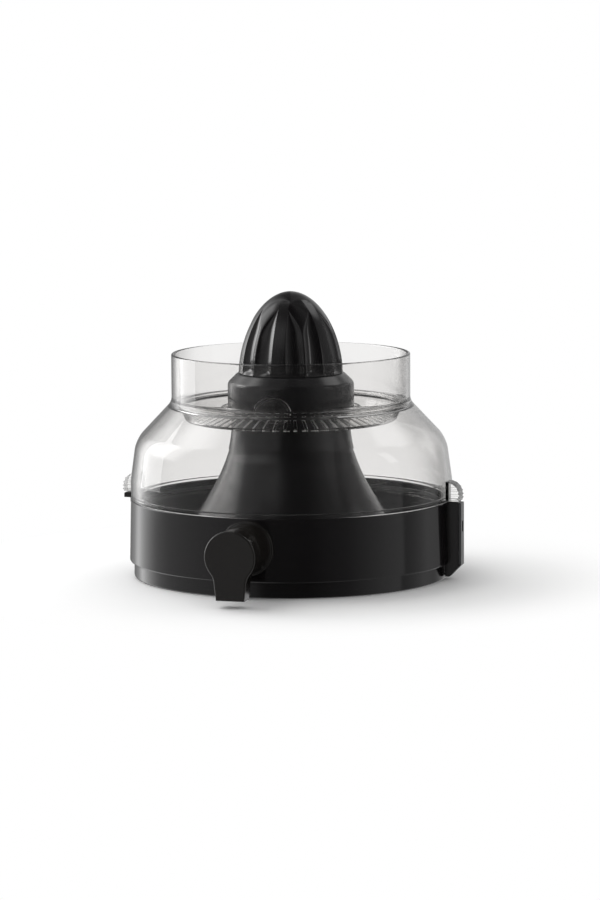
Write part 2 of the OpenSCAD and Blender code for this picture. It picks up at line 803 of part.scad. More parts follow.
module planet(i) {
    color(gear_white) rotate(i * 360 / planet_count) translate([orbit_r, 0, gear_z]) difference() {
        linear_extrude(gear_face) rotate(180 / planet_teeth)
            polygon(gear_points(planet_teeth, addendum, dedendum, backlash));
        translate([0, 0, -cut]) cylinder(r = pin_r + run_gap, h = gear_face + 2 * cut);
    }
}

// ---- input body ----

module input_shaft() {
    sun_z = gear_z - sun_shoulder;
    color(steel) difference() {
        union() {
            translate([0, 0, input_bottom_z]) cylinder(r = input_r, h = sun_z - input_bottom_z);
            translate([0, 0, sun_z - eps])
                cylinder(r = pilot_pin_r, h = carrier_z + pilot_pin_h - sun_z + eps);
        }
        translate([-input_r - cut, 0, cross_pin_z]) rotate([0, 90, 0])
            cylinder(r = cross_pin_r, h = 2 * (input_r + cut));
    }
}

module sun_gear() {
    color(steel) translate([0, 0, gear_z - sun_shoulder]) difference() {
        linear_extrude(gear_face + sun_shoulder)
            polygon(gear_points(sun_teeth, addendum, dedendum, backlash));
        translate([0, 0, -cut])
            cylinder(r = pilot_pin_r, h = gear_face + sun_shoulder + 2 * cut);
    }
}

module input_coupling() {
    neck_z = coupling_z + coupling_h - coupling_neck_h;
    color(warm_black) difference() {
        union() {
            translate([0, 0, coupling_z]) cylinder(r = coupling_r, h = neck_z - coupling_z);
            translate([0, 0, neck_z - eps]) cylinder(r = coupling_neck_r, h = coupling_neck_h + eps);
        }
        // drive socket: a round mouth, then a hexagon
        translate([0, 0, coupling_z - cut]) cylinder(r = socket_r, h = socket_mouth_h + cut);
        translate([0, 0, coupling_z + socket_mouth_h - eps])
            cylinder(r = socket_hex / sqrt(3), h = socket_hex_h, $fn = 6);
        translate([0, 0, input_bottom_z]) cylinder(r = input_r, h = cut_deep);
        translate([-cut_deep / 2, 0, cross_pin_z]) rotate([0, 90, 0])
            cylinder(r = cross_pin_r, h = cut_deep);
    }
}

module coupling_pin() {
    color(steel) translate([-input_r - cross_pin_out, 0, cross_pin_z]) rotate([0, 90, 0])
        cylinder(r = cross_pin_r, h = 2 * (input_r + cross_pin_out));
}

// ---- reamer ----

module cone_collar() {
    curve_z = collar_top_z - collar_curve_h;
    outer = rounded([
        [collar_r, collar_z, 0],
        [collar_r, curve_z + 2, 4],
        [cone_r + collar_step, collar_top_z - edge, 2.4],
        [cone_r - 2 * collar_step, collar_top_z, 0]
    ]);
    color(charcoal) rotate_extrude() polygon(concat(
        outer,
        [[hub_r, collar_top_z],
         [hub_r, hub_z + free_gap],
         [hub_r + sleeve_t, hub_z + free_gap],
         [hub_r + sleeve_t, collar_top_z - deck_t],
         [cone_r - collar_step, collar_top_z - deck_t],
         [collar_in_r, curve_z],
         [collar_in_r, collar_z]]));
}

module cone_hub() {
    color(gear_white) difference() {
        translate([0, 0, hub_z]) cylinder(r = hub_r, h = hub_h);
        translate([0, 0, hub_z - cut]) cylinder(
            r = (hex_across + 2 * hex_gap) / sqrt(3), h = hex_top_z - hub_z + cut + free_gap, $fn = 6);
    }
}

// Share of the flute depth at an angle, 0 on a main rib's crest and 1 in a flute
function flute(a, t) =
    let (half = a * rib_count / 2,
         minor = max(1 - pow(abs(cos(half)), rib_sharp), 0),
         fade = min(max((minor_top - t) / minor_fade, 0), 1))
    pow(abs(sin(half)), rib_sharp) - minor_share * fade * pow(minor, minor_sharp);

function cone_point(a, t) =
    let (r0 = cone_profile_r(t), depth = min(flute_depth * min(1, r0 / cone_r * 1.25), r0 / 2),
         r = r0 - depth * flute(a, t))
    [r * cos(a), r * sin(a), collar_top_z + cone_h * t];

module reamer_cone() {
    sides = rib_count * 12;
    levels = [0, 0.08, 0.17, 0.26, 0.35, 0.44, 0.53, 0.61, 0.69, 0.76, 0.82, 0.87, 0.92, 0.955,
              0.98, 0.994];
    rings = len(levels);
    points = concat(
        [for (t = levels) for (i = [0 : sides - 1]) cone_point(i * 360 / sides, t)],
        [[0, 0, collar_top_z], [0, 0, collar_top_z + cone_h]]);
    foot = rings * sides;
    top = (rings - 1) * sides;
    faces = concat(
        [for (i = [0 : sides - 1]) [foot, i, (i + 1) % sides]],
        band_faces(sides, rings),
        [for (i = [0 : sides - 1]) [top + i, foot + 1, top + (i + 1) % sides]]);
    hollow_r = cone_r - flute_depth - cone_wall;
    hollow_h = cone_h - 2 * cone_wall;
    color(gloss_black) difference() {
        rotate(-90 + rib_turn) polyhedron(points, faces, convexity = 6);
        rotate_extrude() polygon(concat(
            [[0, collar_top_z - cut], [hollow_r, collar_top_z - cut]],
            [for (i = [0 : 10]) let (t = i / 10 * cone_tip_share)
                [hollow_r * pow(1 - pow(t, cone_power), cone_inner_root), collar_top_z + hollow_h * t]],
            [[0, collar_top_z + hollow_h * cone_tip_share]]));
    }
}

// ---- lid and sieve ----

// Outline of a lid lug: upright at its foot and rounded over above
function lug_x(z) =
    let (h = max((z - lug_z - lug_h / 3) / (lug_h * 2 / 3), 0))
    bowl_r + lug_out * sqrt(max(1 - h * h, 0));

module lid_lug() {
    rows = 14;
    pitch = lug_h * 0.185;
    in_x = bowl_r - lid_wall;    // reaches inside the dome's outline before it is cut back
    translate([0, lug_w / 2, 0]) rotate([90, 0, 0]) linear_extrude(lug_w) polygon(concat(
        [[in_x, lug_z]],
        [for (i = [0 : rows]) let (z = lug_z + lug_h * 0.985 * i / rows) [lug_x(z), z]],
        [[in_x, lug_z + lug_h]]));
    // grip ribs
    for (i = [0 : lug_ribs - 1]) let (z = lug_z + lug_rib_t + i * pitch)
        translate([in_x, -lug_w / 2 - lug_rib_proud, z])
        cube([lug_x(z + lug_rib_t) - in_x + lug_rib_proud, lug_w + 2 * lug_rib_proud, lug_rib_t]);
}

module dome_lid() {
    outer = dome_path();
    inner = shifted(outer, lid_wall);
    mid = shifted(outer, lid_wall / 2);
    color(clear) difference() {
        union() {
            rotate_extrude() polygon(concat(outer, reverse(inner)));
            // ledge that carries the sieve, carried into the middle of the wall
            intersection() {
                translate([0, 0, ledge_z - ledge_t]) tube(bowl_r, ledge_r, ledge_t);
                rotate_extrude() polygon(concat([[0, rim_z]], mid, [[0, lid_top_z]]));
            }
            // foot and skirt inside the bowl
            translate([0, 0, rim_z]) tube(bowl_r - lid_wall / 2, skirt_r - lid_wall, lid_wall);
            translate([0, 0, rim_z - skirt_h]) tube(skirt_r, skirt_r - lid_wall, skirt_h + edge);
        }
        translate([0, 0, seal_z]) tube(skirt_r + cut, skirt_r - seal_groove, seal_h);
    }
}

// The two lugs on the outside of the dome
module lid_lugs() {
    color(clear) difference() {
        for (side = [0, 180]) rotate(side) lid_lug();
        cylinder(r = bowl_r, h = cut_deep);
    }
}

module lid_seal() {
    color(seal_grey) translate([0, 0, seal_z])
        tube(skirt_r + seal_proud, skirt_r - seal_groove, seal_h);
}

module sieve() {
    corner_z = sieve_z - sieve_h;
    lip_z = corner_z + sieve_rise;
    outer = rounded([
        [sieve_wall_r, sieve_z, 0],
        [sieve_wall_r, sieve_z - sieve_wall_h, 0],
        [sieve_corner_r, corner_z, 3],
        [sieve_in_r, lip_z, 0]
    ]);
    inner = rounded([
        [sieve_wall_r - sieve_t, sieve_z + sieve_rim_t, 0],
        [sieve_wall_r - sieve_t, sieve_z - sieve_wall_h, 0],
        [sieve_corner_r - sieve_t * 0.8, corner_z + sieve_t, 1.6],
        [sieve_in_r, lip_z + sieve_t, 0]
    ]);
    color(clear) difference() {
        union() {
            rotate_extrude() polygon(concat(outer, reverse(inner)));
            translate([0, 0, sieve_z]) tube(sieve_rim_r, sieve_wall_r - sieve_t / 2, sieve_rim_t);
            translate([0, 0, lip_z]) tube(sieve_in_r + sieve_lip_w, sieve_in_r, sieve_t + sieve_lip_h);
            // thumb tab in front of the collar
            translate([0, -sieve_in_r, lip_z + tab_rise]) rotate([90, 0, 0]) linear_extrude(tab_t)
                polygon([for (i = [0 : 35]) [tab_half_w * cos(i * 10), tab_half_h * sin(i * 10)]]);
        }
        around(slot_count, slot_in_r)
            translate([0, -slot_w / 2, corner_z - cut])
            cube([slot_out_r - slot_in_r, slot_w, sieve_rise + sieve_t + 2 * cut]);
        // the collar's lifting path stays open
        translate([0, 0, corner_z - cut_deep / 2]) cylinder(r = sieve_in_r, h = cut_deep);
    }
}

// ---- turning spout ----

function keyhole_points() =
    let (h = sqrt(pow(head_r + tail_fillet, 2) - pow(tail_half_w + tail_fillet, 2)),
         meet = atan2(-h, tail_half_w + tail_fillet),
         right = concat(
             arc([tail_half_w + tail_fillet, -h], tail_fillet, 180, 180 + meet, 6),
             arc([0, 0], head_r, meet, 90, 16)),
         end = tail_z - spout_z)
    concat([[tail_end_half_w, end]], right, [for (p = reverse(right)) if (p[0] > eps) [-p[0], p[1]]],
           [[-tail_end_half_w, end]]);

module drip_spout() {
    color(warm_black) difference() {
        along_spout(head_back_y) linear_extrude(head_t) polygon(keyhole_points());
        along_spout(head_back_y + cut) cylinder(r = barrel_r, h = barrel_socket + cut);
        // juice way, which turns down inside the tail
        along_spout(head_back_y) cylinder(r = way_r, h = barrel_socket + channel_t);
        translate([-channel_half_w, barrel_front_y - channel_t, tail_z - cut])
            cube([2 * channel_half_w, channel_t, spout_z - tail_z + cut]);
    }
}

module valve_barrel() {
    color(warm_black) difference() {
        along_spout(barrel_end_y) cylinder(r = barrel_r, h = barrel_end_y - barrel_front_y);
        along_spout(barrel_end_y + cut) cylinder(r = way_r, h = cut_deep);
        along_spout(o_ring_y) tube(barrel_r + cut, barrel_r - o_ring_t, o_ring_w);
        along_spout(barrel_clip_y) tube(barrel_r + cut, barrel_r - barrel_groove, barrel_clip_t);
    }
}

module barrel_o_ring() {
    color(seal_grey) along_spout(o_ring_y) tube(barrel_r, barrel_r - o_ring_t, o_ring_w);
}

module barrel_clip() {
    color(steel) along_spout(barrel_clip_y) open_clip(barrel_r, barrel_groove, barrel_clip_t);
}

// ---- interlock ----

module interlock_rod() {
    head_z = rod_top_z - rod_head_h;
    color(gear_white) translate([rod_x, 0, 0]) {
        translate([0, 0, rod_z]) cylinder(r = rod_r, h = head_z - rod_z + eps);
        translate([0, 0, head_z]) cylinder(r = rod_head_r, h = rod_head_h);
    }
}

// A coil of round wire under the rod's head
module interlock_spring() {
    sides = 8;
    turn_steps = 20;
    steps = turn_steps * spring_turns;
    low = spring_seat_z + spring_wire_r + spring_gap;
    high = rod_top_z - rod_head_h - spring_wire_r - spring_gap;
    points = [for (i = [0 : steps]) let (a = i * 360 / turn_steps, z = low + (high - low) * i / steps)
        for (k = [0 : sides - 1])
            let (b = k * 360 / sides, r = spring_r + spring_wire_r * cos(b))
            [r * cos(a), r * sin(a), z + spring_wire_r * sin(b)]];
    faces = concat(
        [[for (k = [0 : sides - 1]) k]],
        band_faces(sides, steps + 1),
        [[for (k = [sides - 1 : -1 : 0]) steps * sides + k]]);
    color(steel) translate([rod_x, 0, 0]) polyhedron(points, faces, convexity = 8);
}

juice_bowl();
base_ring();
ring_screws();
drive_tower();
tower_gasket();
tower_screws();
ring_gear();
gearbox_cover();
cover_screws();
lower_bush();
upper_bush();
thrust_washer();
shaft_seal();
spout_body();
interlock_cover();
planet_carrier();
carrier_plate();
carrier_screws();
planet_pins();
output_shaft();
shaft_circlip();
planet(0);  // planet_gear_1
planet(1);  // planet_gear_2
planet(2);  // planet_gear_3
input_shaft();
sun_gear();
input_coupling();
coupling_pin();
reamer_cone();
cone_collar();
cone_hub();
dome_lid();
lid_lugs();
lid_seal();
sieve();
drip_spout();
valve_barrel();
barrel_o_ring();
barrel_clip();
interlock_rod();
interlock_spring();
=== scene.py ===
import json
import math

import bmesh
import bpy
from mathutils import Matrix, Vector
from mathutils.geometry import interpolate_bezier


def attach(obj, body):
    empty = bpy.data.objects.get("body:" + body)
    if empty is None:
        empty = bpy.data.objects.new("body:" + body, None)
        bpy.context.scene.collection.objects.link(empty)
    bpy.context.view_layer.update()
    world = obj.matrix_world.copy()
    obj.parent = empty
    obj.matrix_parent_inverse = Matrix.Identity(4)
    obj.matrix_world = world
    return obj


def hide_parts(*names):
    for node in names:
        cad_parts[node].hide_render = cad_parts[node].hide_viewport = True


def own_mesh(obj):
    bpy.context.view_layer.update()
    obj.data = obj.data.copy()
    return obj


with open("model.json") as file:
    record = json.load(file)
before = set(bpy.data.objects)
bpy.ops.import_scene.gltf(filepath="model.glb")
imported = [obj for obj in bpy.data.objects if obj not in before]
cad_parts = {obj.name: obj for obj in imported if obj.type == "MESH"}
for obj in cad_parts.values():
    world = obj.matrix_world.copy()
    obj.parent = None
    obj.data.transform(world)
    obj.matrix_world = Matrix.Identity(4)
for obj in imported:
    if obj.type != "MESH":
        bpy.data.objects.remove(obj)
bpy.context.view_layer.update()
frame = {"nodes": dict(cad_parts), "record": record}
scene = bpy.context.scene
cadNodes = frame["nodes"]
metre = 0.001  # pieces are drawn in millimetres and scaled once, when they are finished
print("frame loaded,", len(cadNodes), "nodes")


cameraSetup = {
    "turn": 15.3,  # degrees from the front towards the interlock block
    "lift": 7.2,
    "roll": -0.32,
    "distance": 2.372,
    "sideways": 0.00566,
    "aimHeight": 0.08038,
    "lens": 146.6,
}


def addObject(name, data):
    item = bpy.data.objects.new(name, data)
    scene.collection.objects.link(item)
    return item


def placeCamera(setup):
    turn = math.radians(setup["turn"])
    lift = math.radians(setup["lift"])
    roll = math.radians(setup["roll"])
    right = Vector((math.cos(turn), math.sin(turn), 0))
    back = Vector((math.sin(turn) * math.cos(lift), -math.cos(turn) * math.cos(lift), math.sin(lift)))
    up = back.cross(right)
    across = right * math.cos(roll) + up * math.sin(roll)
    target = right * setup["sideways"] + Vector((0, 0, setup["aimHeight"]))
    lens = bpy.data.cameras.new("studioCamera")
    lens.lens = setup["lens"]
    lens.sensor_width = 36
    lens.clip_end = 60
    camera = addObject("studioCamera", lens)
    axes = Matrix((across, back.cross(across), back)).transposed().to_4x4()
    camera.matrix_world = Matrix.Translation(target + back * setup["distance"]) @ axes
    scene.camera = camera


placeCamera(cameraSetup)
print("camera placed")


class Signal:
    # a value socket that takes part in Python sums
    def __init__(self, shader, socket):
        self.shader = shader
        self.socket = socket

    def combine(self, operation, first, second=0.0):
        made = self.shader.node("ShaderNodeMath", {"operation": operation}, {0: first, 1: second})
        return Signal(self.shader, made.outputs[0])

    def __add__(self, other):
        return self.combine("ADD", self, other)

    def __radd__(self, other):
        return self.combine("ADD", other, self)

    def __sub__(self, other):
        return self.combine("SUBTRACT", self, other)

    def __rsub__(self, other):
        return self.combine("SUBTRACT", other, self)

    def __mul__(self, other):
        return self.combine("MULTIPLY", self, other)

    def __rmul__(self, other):
        return self.combine("MULTIPLY", other, self)

    def __truediv__(self, other):
        return self.combine("DIVIDE", self, other)

    def __pow__(self, other):
        return self.combine("POWER", self, other)

    def atLeast(self, other):
        return self.combine("MAXIMUM", self, other)

    def atMost(self, other):
        return self.combine("MINIMUM", self, other)

    def above(self, low, high):
        # 0 below low, 1 above high, smooth between
        made = self.shader.node(
            "ShaderNodeMapRange",
            {"interpolation_type": "SMOOTHSTEP"},
            {"Value": self, "From Min": low, "From Max": high},
        )
        return Signal(self.shader, made.outputs["Result"])


class Shader:
    # the node tree of a material or a world
    def __init__(self, owner):
        owner.use_nodes = True
        self.owner = owner
        self.tree = owner.node_tree
        self.tree.nodes.clear()

    def node(self, kind, settings=None, inputs=None):
        made = self.tree.nodes.new(kind)
        for name, value in (settings or {}).items():
            if name == "stops":
                ramp = made.color_ramp
                while len(ramp.elements) < len(value):
                    ramp.elements.new(1)
                for element, (place, colour) in zip(ramp.elements, value):
                    element.position = place
                    element.color = colour
            else:
                setattr(made, name, value)
        for name, value in (inputs or {}).items():
            if isinstance(value, Signal):
                self.tree.links.new(value.socket, made.inputs[name])
            elif isinstance(value, bpy.types.NodeSocket):
                self.tree.links.new(value, made.inputs[name])
            else:
                made.inputs[name].default_value = value
        return made

    def place(self, stretch=(1, 1, 1)):
        coords = self.node("ShaderNodeTexCoord").outputs["Object"]
        moved = self.node("ShaderNodeMapping", {}, {"Vector": coords, "Scale": stretch})
        return moved.outputs["Vector"]

    def noise(self, place, size, detail=2.0, roughness=0.5):
        # size is the width of one patch in millimetres
        made = self.node(
            "ShaderNodeTexNoise",
            {},
            {"Vector": place, "Scale": 1 / (size * metre), "Detail": detail, "Roughness": roughness},
        )
        return Signal(self, made.outputs[0])

    def blend(self, share, low, high):
        made = self.node("ShaderNodeMix", {"data_type": "RGBA"}, {0: share, 6: low, 7: high})
        return made.outputs[2]

    def bump(self, height, depth, under=None):
        # depth is in millimetres
        inputs = {"Height": height, "Strength": 1.0, "Distance": depth * metre}
        if under is not None:
            inputs["Normal"] = under
        return self.node("ShaderNodeBump", {}, inputs).outputs["Normal"]

    def principled(self, inputs):
        return self.node("ShaderNodeBsdfPrincipled", {}, inputs).outputs[0]

    def finish(self, surface):
        isWorld = isinstance(self.owner, bpy.types.World)
        kind = "ShaderNodeOutputWorld" if isWorld else "ShaderNodeOutputMaterial"
        self.node(kind, {}, {"Surface": surface})
        return self.owner


def newShader(name):
    return Shader(bpy.data.materials.new(name))


def mouldedPlastic(name, look):
    shader = newShader(name)
    place = shader.place()
    smudge = shader.noise(place, look["smudgeSize"], 3)
    grain = shader.noise(place, look["grainSize"], 2, 0.6)
    ripple = shader.noise(place, look["rippleSize"], 1)
    rub = shader.noise(shader.place((1, 1, 0.06)), look["rubSize"], 2).above(0.6, 0.8)
    dust = shader.noise(place, look["dustSize"], 1).above(0.74, 0.8)
    # sharp edges, found by pointiness, get a lighter colour: partly edge wear, partly a painted highlight
    # along the rims
    wearAndHighlightEdges = shader.node("ShaderNodeNewGeometry").outputs["Pointiness"]
    edge = Signal(shader, wearAndHighlightEdges).above(0.52, 0.6) * look["edgeWearAndHighlight"]
    tone = shader.blend(smudge, look["colour"], look["colourLight"])
    tone = shader.blend((dust * look["dust"] + edge).atMost(1.0), tone, look["dustWearAndHighlightColour"])
    rough = look["roughness"] + (smudge - 0.5) * look["smudge"] + rub * look["rub"]
    rough = (rough + grain * look["grainRough"] + edge * 0.2).atLeast(0.03)
    normal = shader.bump(ripple, look["rippleDepth"])
    normal = shader.bump(grain, look["grainDepth"], normal)
    surface = shader.principled({
        "Base Color": tone,
        "Roughness": rough,
        "Normal": normal,
        "Specular IOR Level": look["shine"],
        "IOR": 1.5,
    })
    return shader.finish(surface)


def clearPlastic(name, look):
    shader = newShader(name)
    place = shader.place()
    ripple = shader.noise(place, look["rippleSize"], 1)
    haze = shader.noise(place, look["hazeSize"], 3)
    rub = shader.noise(shader.place((1, 1, 0.08)), look["rubSize"], 2).above(0.62, 0.85)
    normal = shader.bump(ripple, look["rippleDepth"])
    rough = look["roughness"] + haze * look["haze"] + rub * look["rub"]
    slant = Signal(shader, shader.node("ShaderNodeLayerWeight", {}, {"Blend": 0.5}).outputs["Facing"])
    tone = shader.blend(haze, look["colour"], look["colourLight"])
    tone = shader.blend(slant.above(0.3, 0.95), tone, look["edgeColour"])
    solid = shader.principled({
        "Base Color": tone,
        "Roughness": rough,
        "Normal": normal,
        "IOR": look["bend"],
        "Transmission Weight": 1.0,
    })
    passing = shader.node("ShaderNodeBsdfTransparent", {}, {"Color": look["shadowColour"]})
    rays = shader.node("ShaderNodeLightPath").outputs
    unseen = Signal(shader, rays["Is Shadow Ray"]).atLeast(Signal(shader, rays["Is Diffuse Ray"]))
    both = shader.node("ShaderNodeMixShader", {}, {0: unseen, 1: solid, 2: passing.outputs[0]})
    return shader.finish(both.outputs[0])


def turnedMetal(name, look):
    shader = newShader(name)
    place = shader.place()
    lines = shader.noise(shader.place((0.05, 0.05, 1)), look["lineSize"], 3, 0.7)
    stain = shader.noise(place, look["stainSize"], 4)
    tone = shader.blend(stain, look["colour"], look["colourLight"])
    rough = look["roughness"] + lines * look["lineRough"] + (stain - 0.5) * 0.1
    surface = shader.principled({
        "Base Color": tone,
        "Metallic": 1.0,
        "Roughness": rough.atLeast(0.05),
        "Normal": shader.bump(lines, look["lineDepth"]),
    })
    return shader.finish(surface)


def softRubber(name, look):
    shader = newShader(name)
    place = shader.place()
    grain = shader.noise(place, look["grainSize"], 3, 0.7)
    bloom = shader.noise(place, look["bloomSize"], 3)
    surface = shader.principled({
        "Base Color": shader.blend(bloom, look["colour"], look["colourLight"]),
        "Roughness": (look["roughness"] + (grain - 0.5) * 0.2).atMost(1.0),
        "Normal": shader.bump(grain, look["grainDepth"]),
        "Sheen Weight": 0.1,
    })
    return shader.finish(surface)


# the sizes and depths in the looks are in millimetres
blackLook = {
    "colour": (0.0048, 0.0042, 0.0048, 1),
    "colourLight": (0.0066, 0.0058, 0.0062, 1),
    # the colour of dust, of edge wear and of the painted highlight on sharp edges
    "dustWearAndHighlightColour": (0.030, 0.028, 0.028, 1),
    "roughness": 0.11,
    "shine": 0.5,
    "smudge": 0.03,
    "smudgeSize": 34,
    "grainSize": 0.55,
    "grainRough": 0.02,
    "grainDepth": 0.0006,
    "rippleSize": 30,
    "rippleDepth": 0.006,
    "rub": 0.05,
    "rubSize": 1.6,
    "dust": 0.12,
    "dustSize": 0.9,
    # how much lighter sharp edges are: partly edge wear, partly a painted highlight
    "edgeWearAndHighlight": 0.35,
}
charcoalLook = dict(
    blackLook,
    colour=(0.0075, 0.0070, 0.0078, 1),
    colourLight=(0.0095, 0.0088, 0.0098, 1),
    roughness=0.16,
    grainDepth=0.001,
    rippleDepth=0.008,
)
warmLook = dict(
    blackLook,
    colour=(0.0078, 0.0068, 0.0060, 1),
    colourLight=(0.0100, 0.0088, 0.0078, 1),
    roughness=0.13,
    grainSize=0.4,
    grainDepth=0.001,
    rippleSize=14,
    rippleDepth=0.006,
)
greyLook = dict(
    blackLook,
    colour=(0.045, 0.045, 0.048, 1),
    colourLight=(0.055, 0.055, 0.058, 1),
    dustWearAndHighlightColour=(0.12, 0.12, 0.12, 1),
    roughness=0.3,
    grainDepth=0.006,
)
gearLook = dict(
    blackLook,
    colour=(0.66, 0.63, 0.54, 1),
    colourLight=(0.74, 0.71, 0.63, 1),
    dustWearAndHighlightColour=(0.50, 0.47, 0.40, 1),
    roughness=0.42,
    grainDepth=0.006,
    dust=0.05,
)
clearLook = {
    "colour": (0.900, 0.893, 0.886, 1),
    "colourLight": (0.912, 0.906, 0.900, 1),
    "edgeColour": (0.40, 0.395, 0.39, 1),
    "shadowColour": (0.90, 0.90, 0.89, 1),
    "bend": 1.37,
    "roughness": 0.0027,
    "haze": 0.0054,
    "hazeSize": 22,
    "rub": 0.0135,
    "rubSize": 1.2,
    "rippleSize": 14,
    "rippleDepth": 0.010,
}
cutLook = dict(
    clearLook, roughness=0.3, haze=0.1, edgeColour=(0.55, 0.55, 0.55, 1), colour=(0.97, 0.97, 0.96, 1),
)
lugLook = dict(clearLook, edgeColour=(0.85, 0.85, 0.84, 1), colour=(0.96, 0.96, 0.95, 1), rippleDepth=0.02)
steelLook = {
    "colour": (0.50, 0.51, 0.53, 1),
    "colourLight": (0.62, 0.63, 0.65, 1),
    "roughness": 0.22,
    "lineSize": 0.12,
    "lineRough": 0.16,
    "lineDepth": 0.002,
    "stainSize": 6,
}
bronzeLook = dict(
    steelLook,
    colour=(0.42, 0.25, 0.10, 1),
    colourLight=(0.56, 0.36, 0.16, 1),
    roughness=0.36,
)
rubberLook = {
    "colour": (0.055, 0.056, 0.058, 1),
    "colourLight": (0.085, 0.086, 0.088, 1),
    "roughness": 0.68,
    "grainSize": 0.3,
    "grainDepth": 0.01,
    "bloomSize": 9,
}

# one finish for each material slot of the frame
finishes = {
    "gloss_black": mouldedPlastic("glossBlack", blackLook),
    "charcoal": mouldedPlastic("charcoal", charcoalLook),
    "warm_black": mouldedPlastic("warmBlack", warmLook),
    "clear_plastic": clearPlastic("clearPlastic", clearLook),
    "grey_plastic": mouldedPlastic("greyPlastic", greyLook),
    "gear_plastic": mouldedPlastic("gearPlastic", gearLook),
    "seal_rubber": softRubber("sealRubber", rubberLook),
    "steel": turnedMetal("turnedSteel", steelLook),
    "bronze": turnedMetal("sinteredBronze", bronzeLook),
}

lugClear = clearPlastic("clearLug", lugLook)
cutClear = clearPlastic("clearCut", cutLook)

for part in frame["record"]["subparts"]:
    node = cadNodes[part["node"]]
    node.data.materials.clear()
    node.data.materials.append(finishes[part["material_slot"]])
print("finishes ready,", len(finishes))


def addOutline(bm, corners):
    # corners are (x, z, rounding) in the XZ plane; each rounded one is bevelled
    points = [bm.verts.new((x, 0, z)) for x, z, rounding in corners]
    count = len(points)
    for i in range(count):
        bm.edges.new((points[i], points[(i + 1) % count]))
    rounds = []
    for i, (x, z, rounding) in enumerate(corners):
        if rounding > 0:
            before = Vector(corners[i - 1][:2]) - Vector((x, z))
            after = Vector(corners[(i + 1) % count][:2]) - Vector((x, z))
            reach = rounding / math.tan(before.angle(after) / 2)
            rounds.append((points[i], reach, max(3, min(16, 3 + round(rounding * 0.9)))))
    for point, reach, steps in rounds:
        bmesh.ops.bevel(
            bm, geom=[point], offset=reach, offset_type="OFFSET", segments=steps,
            profile=0.5, affect="VERTICES", material=-1, clamp_overlap=False,
        )


def lathe(corners, steps=160):
    bm = bmesh.new()
    addOutline(bm, corners)
    bmesh.ops.spin(
        bm, geom=bm.verts[:] + bm.edges[:], cent=(0, 0, 0), axis=(0, 0, 1),
        angle=math.tau, steps=steps, use_merge=True,
    )
    clean(bm)
    return bm


def clean(bm):
    bmesh.ops.remove_doubles(bm, verts=bm.verts, dist=0.002)
    bmesh.ops.dissolve_degenerate(bm, edges=bm.edges, dist=0.001)
    bmesh.ops.recalc_face_normals(bm, faces=bm.faces)


def onlyVerts(geometry):
    return [item for item in geometry if isinstance(item, bmesh.types.BMVert)]


def thicken(bm, face, thickness):
    # a face in the XZ plane becomes a slab towards -Y
    grown = bmesh.ops.extrude_face_region(bm, geom=[face])["geom"]
    bmesh.ops.translate(bm, vec=(0, -thickness, 0), verts=onlyVerts(grown))
    bmesh.ops.recalc_face_normals(bm, faces=bm.faces)


def roundEdges(bm, edges, width, steps, clamp=False):
    bmesh.ops.bevel(
        bm, geom=edges, offset=width, offset_type="OFFSET", segments=steps, profile=0.5,
        affect="EDGES", material=-1, clamp_overlap=clamp,
    )


def edgesAlong(bm, axis):
    return [e for e in bm.edges if abs(e.verts[0].co[axis] - e.verts[1].co[axis]) > 1]


def faceEdges(bm):
    # the edges round the front and the back of a slab
    return [e for e in bm.edges if abs(e.verts[0].co.y - e.verts[1].co.y) < 1e-4]


def plate(corners, thickness, edgeRound, edgeSteps=3):
    # an outline in the XZ plane, as a slab from y = 0 to y = -thickness
    bm = bmesh.new()
    addOutline(bm, corners)
    thicken(bm, bmesh.ops.contextual_create(bm, geom=bm.edges[:])["faces"][0], thickness)
    bm.normal_update()
    roundEdges(bm, faceEdges(bm), edgeRound, edgeSteps, True)
    clean(bm)
    return bm


def moveTo(bm, shift=(0, 0, 0), turn=0.0, axis="Z"):
    if turn:
        bmesh.ops.rotate(
            bm, cent=(0, 0, 0), matrix=Matrix.Rotation(math.radians(turn), 3, axis), verts=bm.verts
        )
    bmesh.ops.translate(bm, vec=shift, verts=bm.verts)
    return bm


def joinMeshes(bm, *others):
    for other in others:
        carrier = bpy.data.meshes.new("carrier")
        other.to_mesh(carrier)
        other.free()
        bm.from_mesh(carrier)
        bpy.data.meshes.remove(carrier)
    return bm


def addMesh(name, bm):
    mesh = bpy.data.meshes.new(name)
    bm.to_mesh(mesh)
    bm.free()
    return addObject(name, mesh)


def carve(bm, tool, operation="DIFFERENCE"):
    # a Boolean modifier, applied at once
    made = [addMesh("carved", bm), addMesh("carver", tool)]
    step = made[0].modifiers.new("carve", "BOOLEAN")
    step.operation = operation
    step.object = made[1]
    step.solver = "EXACT"
    bpy.context.view_layer.update()
    shape = made[0].evaluated_get(bpy.context.evaluated_depsgraph_get())
    result = bmesh.new()
    result.from_mesh(shape.to_mesh())
    shape.to_mesh_clear()
    for item in made:
        mesh = item.data
        bpy.data.objects.remove(item)
        bpy.data.meshes.remove(mesh)
    clean(result)
    return result


def rod(radius, low, high, steps=48):
    # a solid round bar on the Z axis
    return lathe([(0, low, 0), (radius, low, 0), (radius, high, 0), (0, high, 0)], steps)


def brick(size):
    bm = bmesh.new()
    bmesh.ops.create_cube(bm, size=1)
    bmesh.ops.scale(bm, vec=size, verts=bm.verts)
    return bm


def ringPlaces(radius, count, start):
    # places spread evenly round a circle, from a first angle in degrees
    turns = [math.radians(start + i * 360 / count) for i in range(count)]
    return [(radius * math.cos(turn), radius * math.sin(turn), 0) for turn in turns]


